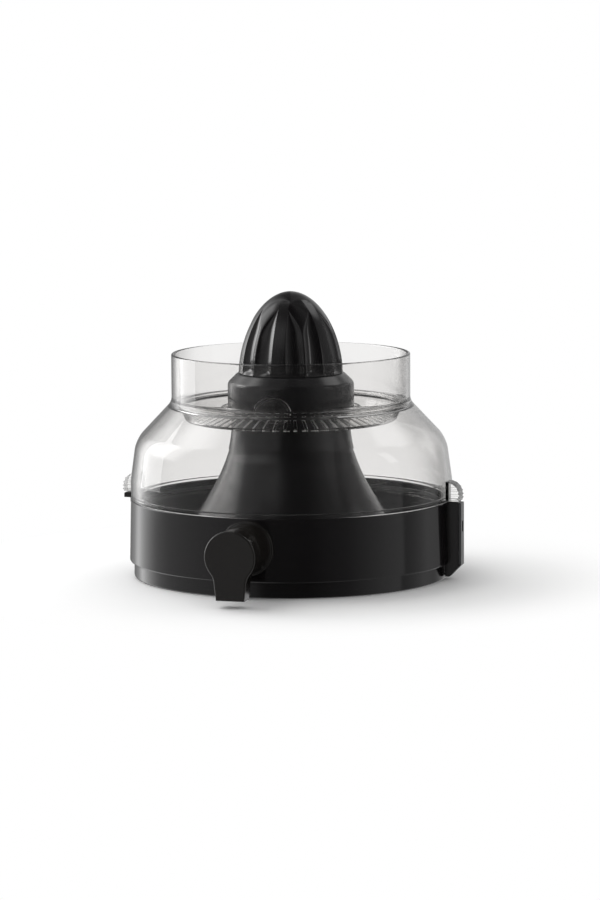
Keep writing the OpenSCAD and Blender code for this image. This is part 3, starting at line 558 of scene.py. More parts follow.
def finishPiece(name, bm, body, slot, nodes=(), sharpAngle=34.0):
    clean(bm)
    bmesh.ops.scale(bm, vec=(metre, metre, metre), verts=bm.verts)
    piece = addMesh(name, bm)
    mesh = piece.data
    mesh.materials.append(finishes[slot])
    mesh.shade_smooth()
    mesh.set_sharp_from_angle(angle=math.radians(sharpAngle))
    even = piece.modifiers.new("evenNormals", "WEIGHTED_NORMAL")
    even.keep_sharp = True
    even.weight = 80
    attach(piece, body)
    if nodes:
        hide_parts(*nodes)
    print("piece", name, len(mesh.polygons), "faces")
    return piece


def markFaces(piece, material, chosen):
    # a second finish on the faces that are chosen
    piece.data.materials.append(material)
    for face in piece.data.polygons:
        if chosen(face):
            face.material_index = 1
    return piece


def alongSpout(bm, y, height):
    # turns a shape drawn along +Z so that it runs along -Y from y
    moveTo(bm, (0, 0, 0), 90, "X")
    return moveTo(bm, (0, y, height))


# the pieces' own sizes are in millimetres too, in the frame's axes
bowl = {
    "rimRadius": 104.0,
    "footRadius": 105.0,
    "footHeight": 10.0,
    "rimHeight": 50.0,
    "wall": 2.6,
    "floorTop": 24.0,
    "floorUnder": 21.0,
    "openingRadius": 61.5,
    "rimRound": 0.55,
    "footRound": 1.1,
    "floorRound": 3.0,
    "bossRadius": 4.0,
    "bossBore": 1.5,
    "bossFoot": 16.0,
    "bossTop": 21.2,
    "bossCircle": 93.0,
    "screwCircle": 66.5,
    "screwRadius": 1.7,
    "wayStart": -98.0,
    "wayLength": 12.0,
}
# the juice way through the bowl and the spout
spoutHeight = 31.6
wayRadius = 7.0


def screwBoss(low, high, rounds):
    # the roundings are those of its foot inside and outside, and of its top outside
    corners = [(bowl["bossBore"], low, rounds[0]), (bowl["bossRadius"], low, rounds[1])]
    return lathe(corners + [(bowl["bossRadius"], high, rounds[2]), (bowl["bossBore"], high, 0)], 32)


def makeBowl(b):
    inFoot = b["footRadius"] - b["wall"]
    bm = lathe(
        [
            (b["footRadius"], b["footHeight"], b["footRound"]),
            (b["rimRadius"], b["rimHeight"], b["rimRound"]),
            (b["rimRadius"] - b["wall"], b["rimHeight"], b["rimRound"]),
            (inFoot, b["floorTop"], b["floorRound"]),
            (b["openingRadius"], b["floorTop"], 0.6),
            (b["openingRadius"], b["floorUnder"], 0.4),
            (inFoot - 0.1, b["floorUnder"], 0.8),
            (inFoot - 0.1, b["footHeight"], 0.4),
        ],
        224,
    )
    holes = alongSpout(rod(wayRadius, 0, b["wayLength"], 64), b["wayStart"], spoutHeight)
    for place in ringPlaces(b["screwCircle"], 6, 30):
        joinMeshes(holes, moveTo(rod(b["screwRadius"], b["floorUnder"] - 3, b["floorTop"] + 3, 20), place))
    bm = carve(bm, holes)
    for place in ringPlaces(b["bossCircle"], 4, 45):
        joinMeshes(bm, moveTo(screwBoss(b["bossFoot"], b["bossTop"], (0.3, 0.4, 0)), place))
    return finishPiece("juiceBowl", bm, "base", "gloss_black", ["juice_bowl"])


baseRing = {
    "outside": 102.2,
    "bore": 98.0,
    "top": 20.9,
    "flangeInside": 88.0,
    "flangeLow": 12.0,
    "flangeHigh": 16.0,
    "headRadius": 3.1,
    "headHigh": 14.0,
    "footRound": 0.9,
}


def makeBaseRing(r):
    bm = lathe(
        [
            (r["bore"], 0, r["footRound"]),
            (r["outside"], 0, r["footRound"]),
            (r["outside"], r["top"], 0.3),
            (r["bore"], r["top"], 0.3),
            (r["bore"], r["flangeHigh"], 0.8),
            (r["flangeInside"], r["flangeHigh"], 0.4),
            (r["flangeInside"], r["flangeLow"], 0.4),
            (r["bore"], r["flangeLow"], 0.8),
        ],
        224,
    )
    holes = bmesh.new()
    low = r["flangeLow"] - 2
    high = r["flangeHigh"] + 2
    for place in ringPlaces(bowl["bossCircle"], 4, 45):
        corners = [(0, low, 0), (r["headRadius"], low, 0), (r["headRadius"], r["headHigh"], 0)]
        corners += [(bowl["screwRadius"], r["headHigh"], 0), (bowl["screwRadius"], high, 0), (0, high, 0)]
        joinMeshes(holes, moveTo(lathe(corners, 24), place))
    bm = carve(bm, holes)
    return finishPiece("baseRing", bm, "base", "gloss_black", ["base_ring"])


block = {
    "insideX": 102.9,
    "faceX": 111.8,
    "outsideX": 113.6,
    "halfWidth": 4.35,
    "foot": 2.0,
    "stripFoot": 10.0,
    "top": 50.5,
    "footSlant": 7.6,
    "rodX": 107.9,
    "wellRadius": 3.1,
    "wellFoot": 38.0,
    "guideRadius": 1.7,
    "lidPass": 104.3,
    "edgeRound": 0.5,
}


def makeBlock(b):
    bm = plate(
        [
            (b["insideX"], b["foot"], 0.4),
            (b["outsideX"] - b["footSlant"], b["foot"], 0.8),
            (b["outsideX"], b["stripFoot"] - 0.4, 0.4),
            (b["outsideX"], b["stripFoot"], 0),
            (b["faceX"], b["stripFoot"], 0),
            (b["faceX"], b["top"], 0.6),
            (b["insideX"], b["top"], 0),
        ],
        2 * b["halfWidth"],
        b["edgeRound"],
    )
    moveTo(bm, (0, b["halfWidth"], 0))
    well = rod(b["wellRadius"], b["wellFoot"], 60, 40)
    joinMeshes(well, rod(b["guideRadius"], -2, b["wellFoot"] + 1, 24))
    bm = carve(bm, moveTo(well, (b["rodX"], 0, 0)))
    # the lid's foot passes the block above the bowl's rim
    bm = carve(bm, rod(b["lidPass"], bowl["rimHeight"] - 0.01, 60, 224))
    return finishPiece("interlockBlock", bm, "base", "gloss_black", ["juice_bowl"])


strip = {
    "foot": 10.02,
    "top": 49.9,
    "windowHalf": 1.7,
    "windowLow": 31.0,
    "windowHigh": 38.0,
    "windowRound": 0.6,
    "gap": 0.02,
    "sideGap": 0.05,
    "edgeRound": 0.35,
}


def makeStrip(s):
    inside = block["faceX"] + s["gap"]
    halfWidth = block["halfWidth"] - s["sideGap"]
    corners = [(inside, s["foot"], 0), (block["outsideX"], s["foot"], 0)]
    corners += [(block["outsideX"], s["top"], 0.6), (inside, s["top"], 0)]
    bm = plate(corners, 2 * halfWidth, s["edgeRound"])
    moveTo(bm, (0, halfWidth, 0))
    slot = brick((6, 2 * s["windowHalf"], s["windowHigh"] - s["windowLow"]))
    roundEdges(slot, edgesAlong(slot, 0), s["windowRound"], 4)
    moveTo(slot, (block["outsideX"], 0, (s["windowLow"] + s["windowHigh"]) / 2))
    bm = carve(bm, slot)
    return finishPiece("interlockCover", bm, "base", "grey_plastic", ["interlock_cover"])


spring = {
    "low": 38.35,
    "high": 48.15,
    "radius": 2.35,
    "wire": 0.3,
    "turns": 6,
    "turnSteps": 28,
    "sides": 10,
    "travel": 4.0,
}


def makeSpring(s):
    bm = bmesh.new()
    rings = []
    steps = s["turns"] * s["turnSteps"]
    for i in range(steps + 1):
        turn = math.tau * i / s["turnSteps"]
        middle = s["low"] + (s["high"] - s["low"]) * i / steps
        ring = []
        for k in range(s["sides"]):
            around = math.tau * k / s["sides"]
            reach = s["radius"] + s["wire"] * math.cos(around)
            height = middle + s["wire"] * math.sin(around)
            ring.append(bm.verts.new((reach * math.cos(turn), reach * math.sin(turn), height)))
        rings.append(ring)
    for under, over in zip(rings, rings[1:]):
        for k in range(s["sides"]):
            after = (k + 1) % s["sides"]
            bm.faces.new((under[k], under[after], over[after], over[k]))
    bm.faces.new(rings[0])
    bm.faces.new(rings[-1])
    moveTo(bm, (block["rodX"], 0, 0))
    piece = finishPiece("pressSpring", bm, "interlock", "steel", ["interlock_spring"])
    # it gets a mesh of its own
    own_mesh(piece)
    return piece


hook = {
    "outsideX": 112.6,
    "insideX": 102.7,
    "top": 50.0,
    "low": 43.5,
    "tipLow": 46.75,
    "tipReach": 4.3,
    "halfWidth": 4.5,
    "edgeRound": 0.45,
}


def makeHook(h):
    bm = plate(
        [
            (-h["outsideX"], h["tipLow"], 0.5),
            (-h["outsideX"], h["top"], 1.0),
            (-h["insideX"], h["top"], 0),
            (-h["insideX"], h["low"], 0),
            (-h["outsideX"] + h["tipReach"], h["low"], 0.8),
            (-h["outsideX"] + h["tipReach"], h["tipLow"], 0.5),
        ],
        2 * h["halfWidth"],
        h["edgeRound"],
    )
    moveTo(bm, (0, h["halfWidth"], 0))
    return finishPiece("catchHook", bm, "base", "gloss_black", ["juice_bowl"])


makeBowl(bowl)
makeBaseRing(baseRing)
makeBlock(block)
makeStrip(strip)
makeSpring(spring)
makeHook(hook)


tower = {
    "neckRadius": 38.4,
    "footRadius": 74.5,
    "foot": 25.0,
    "flareTop": 98.0,
    "top": 112.0,
    "topRound": 1.4,
    "wall": 2.6,
    "boreRadius": 35.8,
    "boreTop": 109.0,
    "boreFoot": 64.0,
    "bossRadius": 13.1,
    "bossTop": 122.3,
    "bushRadius": 9.5,
    "sealRadius": 11.5,
    "sealSeat": 119.7,
    "neckPull": (0.4, -26.0),  # how far the flare's two control points lie from its ends
    "footPull": (-22.5, 25.0),
    "flareSteps": 26,
    "postTop": 31.5,
}


def makeTower(t):
    ends = [
        Vector((t["neckRadius"], t["flareTop"])),
        Vector((t["neckRadius"] + t["neckPull"][0], t["flareTop"] + t["neckPull"][1])),
        Vector((t["footRadius"] + t["footPull"][0], t["foot"] + t["footPull"][1])),
        Vector((t["footRadius"], t["foot"])),
    ]
    flare = interpolate_bezier(ends[0], ends[1], ends[2], ends[3], t["flareSteps"])
    inner = []
    for i, point in enumerate(flare):
        run = flare[min(i + 1, len(flare) - 1)] - flare[max(i - 1, 0)]
        side = Vector((run.y, -run.x)).normalized()
        moved = point + side * t["wall"]
        if t["foot"] < moved.y < t["boreFoot"]:
            inner.append(moved)
    corners = [(t["bushRadius"], t["boreTop"], 0), (t["bushRadius"], t["sealSeat"], 0)]
    corners += [(t["sealRadius"], t["sealSeat"], 0), (t["sealRadius"], t["bossTop"], 0.3)]
    corners += [(t["bossRadius"], t["bossTop"], 0.5), (t["bossRadius"], t["top"], 1.0)]
    corners += [(t["neckRadius"], t["top"], t["topRound"])]
    corners += [(p.x, p.y, 0) for p in flare]
    corners += [(inner[-1].x, t["foot"], 0)]
    corners += [(p.x, p.y, 0) for p in reversed(inner)]
    corners += [(inner[0].x, t["boreFoot"], 0), (t["boreRadius"], t["boreFoot"], 0)]
    corners += [(t["boreRadius"], t["boreTop"], 0)]
    bm = lathe(corners, 176)
    for place in ringPlaces(bowl["screwCircle"], 6, 30):
        joinMeshes(bm, moveTo(screwBoss(t["foot"], t["postTop"], (0.2, 0.3, 0.8)), place))
    return finishPiece("driveTower", bm, "base", "charcoal", ["drive_tower"])


makeTower(tower)


cone = {
    "radius": 33.9,
    "foot": 131.2,
    "height": 52.3,
    "power": 1.8,
    "root": 0.518,
    "ribs": 6,
    "turn": 1.3,  # degrees from the front to a main rib
    "crestFoot": 4.9,  # half width of a main rib at the foot and near the top
    "crestTop": 3.1,
    "minorWidth": 0.35,
    "closeStart": 0.48,  # share of the height where the smooth cap starts to widen
    "closeEnd": 0.81,
    "closePower": 2.2,
    "fluteDepth": 2.5,
    "footFillet": 0.055,
    "crestSteps": 5,
    "fluteSteps": 12,
    "capSteps": 4,
    "levels": 60,
    "wall": 2.4,
    "roofThick": 5.0,
}


def coneRadius(c, share):
    return c["radius"] * max(1 - share ** c["power"], 0) ** c["root"]


def smoothRise(value):
    value = min(max(value, 0), 1)
    return value * value * (3 - 2 * value)


def shapeRibs(bm, c):
    # each column of the spun dome keeps to a crest, a flute or the cap between them
    half = c["crestSteps"] + c["fluteSteps"] + c["capSteps"]
    columns = 2 * c["ribs"] * half
    step = math.tau / columns
    period = math.pi / c["ribs"]
    for vert in bm.verts:
        flat = math.hypot(vert.co.x, vert.co.y)
        if flat < 0.05 or vert.co.z < -0.001:
            continue
        share = vert.co.z / c["height"]
        edge = coneRadius(c, share)
        if flat < edge - 0.05:
            continue
        column = round(math.atan2(vert.co.y, vert.co.x) / step) % columns
        stretch = column // half
        place = column % half
        if stretch % 2:
            place = half - place
        crest = c["crestFoot"] + (c["crestTop"] - c["crestFoot"]) * min(share / 0.8, 1)
        crest = min(math.asin(min(crest / max(edge, 0.1), 0.9)), period * 0.62)
        close = max(share - c["closeStart"], 0) / (c["closeEnd"] - c["closeStart"])
        gap = 0.02 * period
        cap = c["minorWidth"] / max(edge, 4) + (period - crest) * close ** c["closePower"]
        cap = min(cap, period - crest - gap)
        flute = period - crest - cap
        if place <= c["crestSteps"]:
            angle = crest * place / c["crestSteps"]
            radius = edge * (1 - 0.5 * (1 - math.cos(crest) / math.cos(angle)) * (share < 0.9))
        elif place <= c["crestSteps"] + c["fluteSteps"]:
            across = (place - c["crestSteps"]) / c["fluteSteps"]
            across = 0.5 - 0.5 * math.cos(math.pi * across)
            angle = crest + flute * across
            width = edge * (flute - gap)
            depth = c["fluteDepth"] * (width / 12.4) ** 0.85 if width > 0 else 0
            depth *= smoothRise(share / c["footFillet"])
            ease = smoothRise(across / 0.07) * smoothRise((1 - across) / 0.05)
            radius = edge - depth * 4 * across * (1 - across) * ease
        else:
            along = (place - c["crestSteps"] - c["fluteSteps"]) / c["capSteps"]
            angle = crest + flute + cap * along
            radius = edge
        if stretch % 2:
            turn = (stretch + 1) * period - angle
        else:
            turn = stretch * period + angle
        vert.co.x = radius * math.cos(turn)
        vert.co.y = radius * math.sin(turn)


def makeCone(c):
    levels = c["levels"]
    shares = [1 - (1 - i / levels) ** 1.6 for i in range(levels + 1)]
    outline = [(coneRadius(c, s), c["height"] * s, 0) for s in shares[:-1]] + [(0, c["height"], 0)]
    inside = c["radius"] - c["fluteDepth"] - c["wall"] - 1
    roof = c["height"] - c["roofThick"]
    hollow = [(inside * max(1 - s ** c["power"], 0) ** 0.62, roof * s, 0) for s in (0.9, 0.75, 0.5, 0.25, 0)]
    corners = outline + [(0, roof, 0)] + hollow
    half = c["crestSteps"] + c["fluteSteps"] + c["capSteps"]
    bm = lathe(corners, 2 * c["ribs"] * half)
    shapeRibs(bm, c)
    moveTo(bm, (0, 0, c["foot"]), -90 + c["turn"])
    return finishPiece("reamerCone", bm, "reamer", "gloss_black", ["reamer_cone"], 60)


collar = {
    "outside": 40.8,
    "low": 107.0,
    "top": 131.2,
    "curve": 122.8,
    "hubRadius": 10.5,
    "hubFoot": 123.3,
    "hubWall": 2.4,
    "wall": 1.9,
    "roofThick": 2.5,
}


def makeCollar(c):
    bm = lathe(
        [
            (c["outside"], c["low"], 0.5),
            (c["outside"], c["curve"] + 2, 4.0),
            (cone["radius"] + 1.0, c["top"] - 0.6, 2.4),
            (cone["radius"] - 2.0, c["top"], 0),
            (c["hubRadius"], c["top"], 0),
            (c["hubRadius"], c["hubFoot"], 0),
            (c["hubRadius"] + c["hubWall"], c["hubFoot"], 0.3),
            (c["hubRadius"] + c["hubWall"], c["top"] - c["roofThick"], 0.6),
            (cone["radius"] - 1.0, c["top"] - c["roofThick"], 0),
            (c["outside"] - c["wall"], c["curve"], 0),
            (c["outside"] - c["wall"], c["low"], 0.4),
        ],
        176,
    )
    return finishPiece("coneCollar", bm, "reamer", "charcoal", ["cone_collar"], 40)


makeCone(cone)
makeCollar(collar)


lid = {
    "footRadius": 104.0,
    "foot": 50.0,
    "straight": 62.0,
    "shoulderRadius": 100.4,
    "shoulder": 88.0,
    "shoulderRound": 20.0,
    "neckRadius": 77.1,
    "neck": 112.7,
    "neckRound": 8.0,
    "top": 143.7,
    "wall": 2.2,
    "rimRound": 0.95,
    "ledgeRadius": 71.8,
    "ledgeTop": 110.7,
    "ledgeThick": 2.0,
    "skirtRadius": 100.9,
    "skirtFoot": 42.0,
    "seal": 44.0,
    "sealHeight": 2.4,
    "sealDepth": 1.2,
}
lug = {
    "foot": 51.0,
    "height": 12.5,
    "reach": 8.4,
    "width": 12.0,
    "ribs": 4,
    "ribThick": 1.0,
    "ribProud": 0.4,
    "ribPitch": 2.3125,
    "rows": 12,
    "topShare": 0.985,  # of the height, where its upper edge ends
    "rootShare": 0.6,  # of the lid's wall that its root goes into
    "ribDeep": 0.9,
    "ribRound": 0.3,
    "edgeRound": 0.5,
}


def insideCorner(before, corner, after, wall):
    # where the two walls meet on the inner side
    first = (Vector(corner) - Vector(before)).normalized()
    second = (Vector(after) - Vector(corner)).normalized()
    sideA = Vector((-first.y, first.x))
    sideB = Vector((-second.y, second.x))
    middle = (sideA + sideB).normalized()
    return Vector(corner) + middle * (wall / middle.dot(sideA))


def lugReach(height):
    rise = max((height - lug["foot"] - lug["height"] / 3) / (lug["height"] * 2 / 3), 0)
    return lid["footRadius"] + lug["reach"] * math.sqrt(max(1 - rise * rise, 0))


def makeLug(side):
    rows = lug["rows"]
    heights = [lug["foot"] + lug["height"] * lug["topShare"] * i / rows for i in range(rows + 1)]
    inside = lid["footRadius"] - lid["wall"] * lug["rootShare"]
    corners = [(inside, lug["foot"], 0)] + [(lugReach(z), z, 0) for z in heights]
    corners += [(inside, heights[-1], 0)]
    bm = plate(corners, lug["width"], lug["edgeRound"])
    moveTo(bm, (0, lug["width"] / 2, 0))
    for i in range(lug["ribs"]):
        low = lug["foot"] + lug["ribThick"] + i * lug["ribPitch"]
        high = low + lug["ribThick"]
        proud = lugReach(high) + lug["ribProud"]
        root = lid["footRadius"] - lug["ribDeep"]
        outline = [(root, low, 0), (proud, low, lug["ribRound"])]
        outline += [(proud, high, lug["ribRound"]), (root, high, 0)]
        rib = plate(outline, lug["width"] + 2 * lug["ribProud"], lug["ribRound"], 2)
        bm = carve(bm, moveTo(rib, (0, lug["width"] / 2 + lug["ribProud"], 0)), "UNION")
    return moveTo(bm, (0, 0, 0), side)


def makeLid(d):
    foot = (d["footRadius"], d["foot"])
    straight = (d["footRadius"], d["straight"])
    shoulder = (d["shoulderRadius"], d["shoulder"])
    neck = (d["neckRadius"], d["neck"])
    top = (d["neckRadius"], d["top"])
    inShoulder = insideCorner(straight, shoulder, neck, d["wall"])
    inStraight = insideCorner(foot, straight, shoulder, d["wall"])
    inNeck = d["neckRadius"] - d["wall"]
    inFoot = d["skirtRadius"] - d["wall"]
    ledgeLow = d["ledgeTop"] - d["ledgeThick"]
    sealTop = d["seal"] + d["sealHeight"]
    bm = lathe(
        [
            (d["skirtRadius"], d["skirtFoot"], 0.5),
            (d["skirtRadius"], d["seal"], 0),
            (d["skirtRadius"] - d["sealDepth"], d["seal"], 0),
            (d["skirtRadius"] - d["sealDepth"], sealTop, 0),
            (d["skirtRadius"], sealTop, 0),
            (d["skirtRadius"], d["foot"], 0.2),
            (d["footRadius"], d["foot"], 0.7),
            (straight[0], straight[1], 6),
            (shoulder[0], shoulder[1], d["shoulderRound"]),
            (neck[0], neck[1], d["neckRound"]),
            (top[0], top[1], d["rimRound"]),
            (inNeck, d["top"], d["rimRound"]),
            (inNeck, d["ledgeTop"] + 1.7, 3.0),
            (d["neckRadius"] - 1.1, d["ledgeTop"], 0.4),
            (d["ledgeRadius"], d["ledgeTop"], 0.6),
            (d["ledgeRadius"], ledgeLow, 0.6),
            (d["neckRadius"] + 0.8, ledgeLow, 1.0),
            (inShoulder.x, inShoulder.y, d["shoulderRound"] - d["wall"]),
            (inStraight.x, inStraight.y, 4),
            (inStraight.x, d["foot"] + d["wall"], 1.0),
            (inFoot, d["foot"] + d["wall"], 0.5),
            (inFoot, d["skirtFoot"], 0.5),
        ],
        224,
    )
    for side in (0, 180):
        bm = carve(bm, makeLug(side), "UNION")
    piece = finishPiece("domeLid", bm, "lid", "clear_plastic", ["dome_lid", "lid_lugs"], 40)
    # the thick lugs let more light through edge on than the thin wall does
    reach = (lid["footRadius"] + 0.15) * metre
    return markFaces(piece, lugClear, lambda face: face.center.xy.length > reach)


makeLid(lid)


sieve = {
    "rimRadius": 74.5,
    "rimLow": 111.0,
    "rimHigh": 113.0,
    "wallRadius": 71.4,
    "cornerRadius": 67.4,
    "corner": 99.0,
    "lipRadius": 43.5,
    "lip": 106.0,
    "lipTop": 109.2,
    "lipWidth": 1.6,
    "thick": 1.8,
    "slots": 60,
    "slotWidth": 2.0,
    "slotRound": 0.9,
    "cutHigh": 14.0,
    "cutRise": 3.6,
    "slotInside": 49.0,
    "slotOutside": 64.4,
}
tab = {
    "halfWidth": 12.2,
    "halfHeight": 9.8,
    "thick": 3.0,
    "front": -46.5,
    "middle": 109.8,
    "beadWidth": 1.4,
    "beadDepth": 0.7,
    "edgeRound": 0.6,
}


def makeSieve(s):
    inWall = s["wallRadius"] - s["thick"]
    bm = lathe(
        [
            (s["rimRadius"], s["rimLow"], 0.5),
            (s["rimRadius"], s["rimHigh"], 0.7),
            (inWall, s["rimHigh"], 0.8),
            (inWall, s["rimLow"] - 3.2, 0.8),
            (s["cornerRadius"] - 1.4, s["corner"] + s["thick"], 1.6),
            (s["lipRadius"] + s["lipWidth"], s["lip"] + 1.4, 0.6),
            (s["lipRadius"] + s["lipWidth"], s["lipTop"], 0.6),
            (s["lipRadius"], s["lipTop"], 0.6),
            (s["lipRadius"], s["lip"], 0.4),
            (s["cornerRadius"], s["corner"], 3.0),
            (s["wallRadius"], s["rimLow"] - 3, 1.0),
            (s["wallRadius"], s["rimLow"], 0.3),
        ],
        240,
    )
    slots = bmesh.new()
    length = s["slotOutside"] - s["slotInside"]
    for i in range(s["slots"]):
        cutter = brick((length, s["slotWidth"], s["cutHigh"]))
        roundEdges(cutter, edgesAlong(cutter, 2), s["slotRound"], 3)
        moveTo(cutter, (s["slotInside"] + length / 2, 0, s["corner"] + s["cutRise"]))
        joinMeshes(slots, moveTo(cutter, (0, 0, 0), i * 360 / s["slots"]))
    bm = carve(bm, slots)
    piece = finishPiece("sieveBasket", bm, "sieve", "clear_plastic", ["sieve"], 36)
    # the walls of the slots are left rough
    near = (s["slotInside"] - 0.5) * metre
    far = (s["slotOutside"] + 0.5) * metre
    return markFaces(
        piece, cutClear, lambda face: abs(face.normal.z) < 0.35 and near < face.center.xy.length < far
    )


def makeTab(t):
    bm = bmesh.new()
    bmesh.ops.create_circle(bm, cap_ends=True, radius=1, segments=64)
    bm.faces.ensure_lookup_table()
    face = bm.faces[0]
    bmesh.ops.scale(bm, vec=(t["halfWidth"], t["halfHeight"], 1), verts=bm.verts)
    bmesh.ops.rotate(bm, cent=(0, 0, 0), matrix=Matrix.Rotation(math.radians(90), 3, "X"), verts=bm.verts)
    thicken(bm, face, t["thick"])
    front = min(bm.faces, key=lambda f: f.calc_center_median().y)
    bmesh.ops.inset_region(bm, faces=[front], thickness=t["beadWidth"], depth=0)
    bmesh.ops.inset_region(bm, faces=[front], thickness=0.5, depth=-t["beadDepth"])
    rims = [e for e in bm.edges if len(e.link_faces) == 2 and e.calc_face_angle(0) > 0.9]
    roundEdges(bm, rims, t["edgeRound"], 3)
    moveTo(bm, (0, t["front"] + t["thick"], t["middle"]))
    # the collar's lifting path stays open
    bm = carve(bm, rod(sieve["lipRadius"], 90, 130, 160))
    piece = finishPiece("sieveTab", bm, "sieve", "clear_plastic", ["sieve"])
    return markFaces(piece, cutClear, lambda face: abs(face.normal.y) < 0.6)


makeSieve(sieve)
makeTab(tab)


spoutBody = {
    "back": -102.9,
    "front": -131.5,
    "radius": 15.8,
    "flangeRadius": 17.3,
    "flangeFront": -107.0,
    "boreRadius": 10.05,
    "boreBack": -106.2,
    "frontRound": 1.2,
    "clipBack": -110.2,
    "clipLong": 1.8,
    "clipDeep": 1.65,
}


def makeSpoutBody(s):
    length = s["back"] - s["front"]
    flange = s["back"] - s["flangeFront"]
    bore = s["back"] - s["boreBack"]
    clip = s["back"] - s["clipBack"]
    clipEnd = clip + s["clipLong"]
    clipRadius = s["boreRadius"] + s["clipDeep"]
    bm = lathe(
        [
            (wayRadius, 0, 0),
            (s["flangeRadius"], 0, 0),
            (s["flangeRadius"], flange, 0.7),
            (s["radius"], flange, 0.5),
            (s["radius"], length, s["frontRound"]),
            (s["boreRadius"], length, 0.4),
            (s["boreRadius"], clipEnd, 0),
            (clipRadius, clipEnd, 0),
            (clipRadius, clip, 0),
            (s["boreRadius"], clip, 0),
            (s["boreRadius"], bore, 0),
            (wayRadius, bore, 0),
        ],
        112,
    )
    alongSpout(bm, s["back"], spoutHeight)
    return finishPiece("spoutBody", bm, "base", "warm_black", ["spout_body"])


keyhole = {
    "headRadius": 16.3,
    "thick": 12.0,
    "back": -131.8,
    "tailHalf": 10.3,
    "endHalf": 9.1,
    "endHeight": 4.5,
    "fillet": 9.0,
    "frontRound": 1.0,
    "channelHalf": 5.5,
    "channelBack": -133.8,
    "channelThick": 6.0,
    "barrelRadius": 10.0,
    "headSteps": 40,
}


def makeKeyhole(k):
    bm = bmesh.new()
    side = k["tailHalf"] + k["fillet"]
    down = math.sqrt((k["headRadius"] + k["fillet"]) ** 2 - side**2)
    meet = math.atan2(down, side)
    # round the head, over its top, from one fillet to the other
    first = bm.verts.new((k["headRadius"] * math.cos(meet), 0, -k["headRadius"] * math.sin(meet)))
    head = bmesh.ops.spin(
        bm, geom=[first], cent=(0, 0, 0), axis=(0, -1, 0), angle=math.pi + 2 * meet, steps=k["headSteps"]
    )
    last = onlyVerts(head["geom_last"])[0]
    ends = []
    for vert, way in ((first, 1), (last, -1)):
        bend = bmesh.ops.spin(
            bm, geom=[vert], cent=(way * side, 0, -down), axis=(0, -way, 0), angle=meet, steps=8
        )
        foot = onlyVerts(bend["geom_last"])[0]
        end = bm.verts.new((way * k["endHalf"], 0, k["endHeight"] - spoutHeight))
        bm.edges.new((foot, end))
        ends.append(end)
    bm.edges.new(ends)
    bmesh.ops.remove_doubles(bm, verts=bm.verts, dist=0.002)
    thicken(bm, bmesh.ops.contextual_create(bm, geom=bm.edges[:])["faces"][0], k["thick"])
    roundEdges(bm, faceEdges(bm), k["frontRound"], 4)
    moveTo(bm, (0, k["back"], spoutHeight))
    depth = spoutHeight - k["endHeight"] + 4
    channel = brick((2 * k["channelHalf"], k["channelThick"], depth))
    moveTo(channel, (0, k["channelBack"] - k["channelThick"] / 2, spoutHeight - depth / 2))
    bm = carve(bm, channel)
    bm = carve(bm, alongSpout(rod(wayRadius, -1, 8, 48), k["back"], spoutHeight))
    bm = carve(bm, alongSpout(rod(k["barrelRadius"], -1, 2, 64), k["back"], spoutHeight))
    return finishPiece("turningSpout", bm, "spout", "warm_black", ["drip_spout"])


makeSpoutBody(spoutBody)
makeKeyhole(keyhole)
print("pieces made")


studio = {
    "floorSize": 30.0,
    "floorColour": (0.95, 0.95, 0.95, 1),
    "shadowReach": 0.155,
    "whiteReach": 0.245,
    "ambient": 0.71,
    "backLight": 0.55,  # how much stronger the even light is from behind than from in front
    "frontTurn": 15.3,  # the way the dark front of the room faces
    "ceilingDark": 0.55,
    # light level of the room at each angle in degrees, from back left past the front to back right
    "room": [
        (-162, 0.3), (-150, 0.8), (-140, 2.4), (-124, 1.5), (-112, 0.85), (-98, 0.62), (-72, 0.5),
        (-52, 0.42), (-35, 0.34), (-28, 0.3), (-20, 0.08), (12, 0.04), (40, 0.16), (70, 0.5),
        (86, 0.6), (87, 0.26), (112, 0.52), (128, 0.3), (141, 0.5), (150, 0.85), (160, 0.6), (172, 0.6),
    ],
    # bright cards that show only in reflections: from and to in degrees around and up
    "cards": [
        {"turn": (-126, -97), "rise": (8, 56), "level": 2.1, "soft": 7},
        {"turn": (108, 140), "rise": (36, 56), "level": 1.3, "soft": 5},
        {"turn": (-58, -16), "rise": (28, 56), "level": 0.4, "soft": 13},
    ],
}


def watchers(shader):
    # rays that look straight or through clear plastic, and rays that have been mirrored
    rays = shader.node("ShaderNodeLightPath").outputs
    seen = Signal(shader, rays["Is Camera Ray"]).atLeast(Signal(shader, rays["Is Transmission Ray"]))
    return seen, Signal(shader, rays["Glossy Depth"]).atMost(1.0)


def towards(shader, direction, axis):
    # how far a direction points along an axis, from -1 to 1
    made = shader.node("ShaderNodeVectorMath", {"operation": "DOT_PRODUCT"}, {0: direction, 1: axis})
    return Signal(shader, made.outputs["Value"])


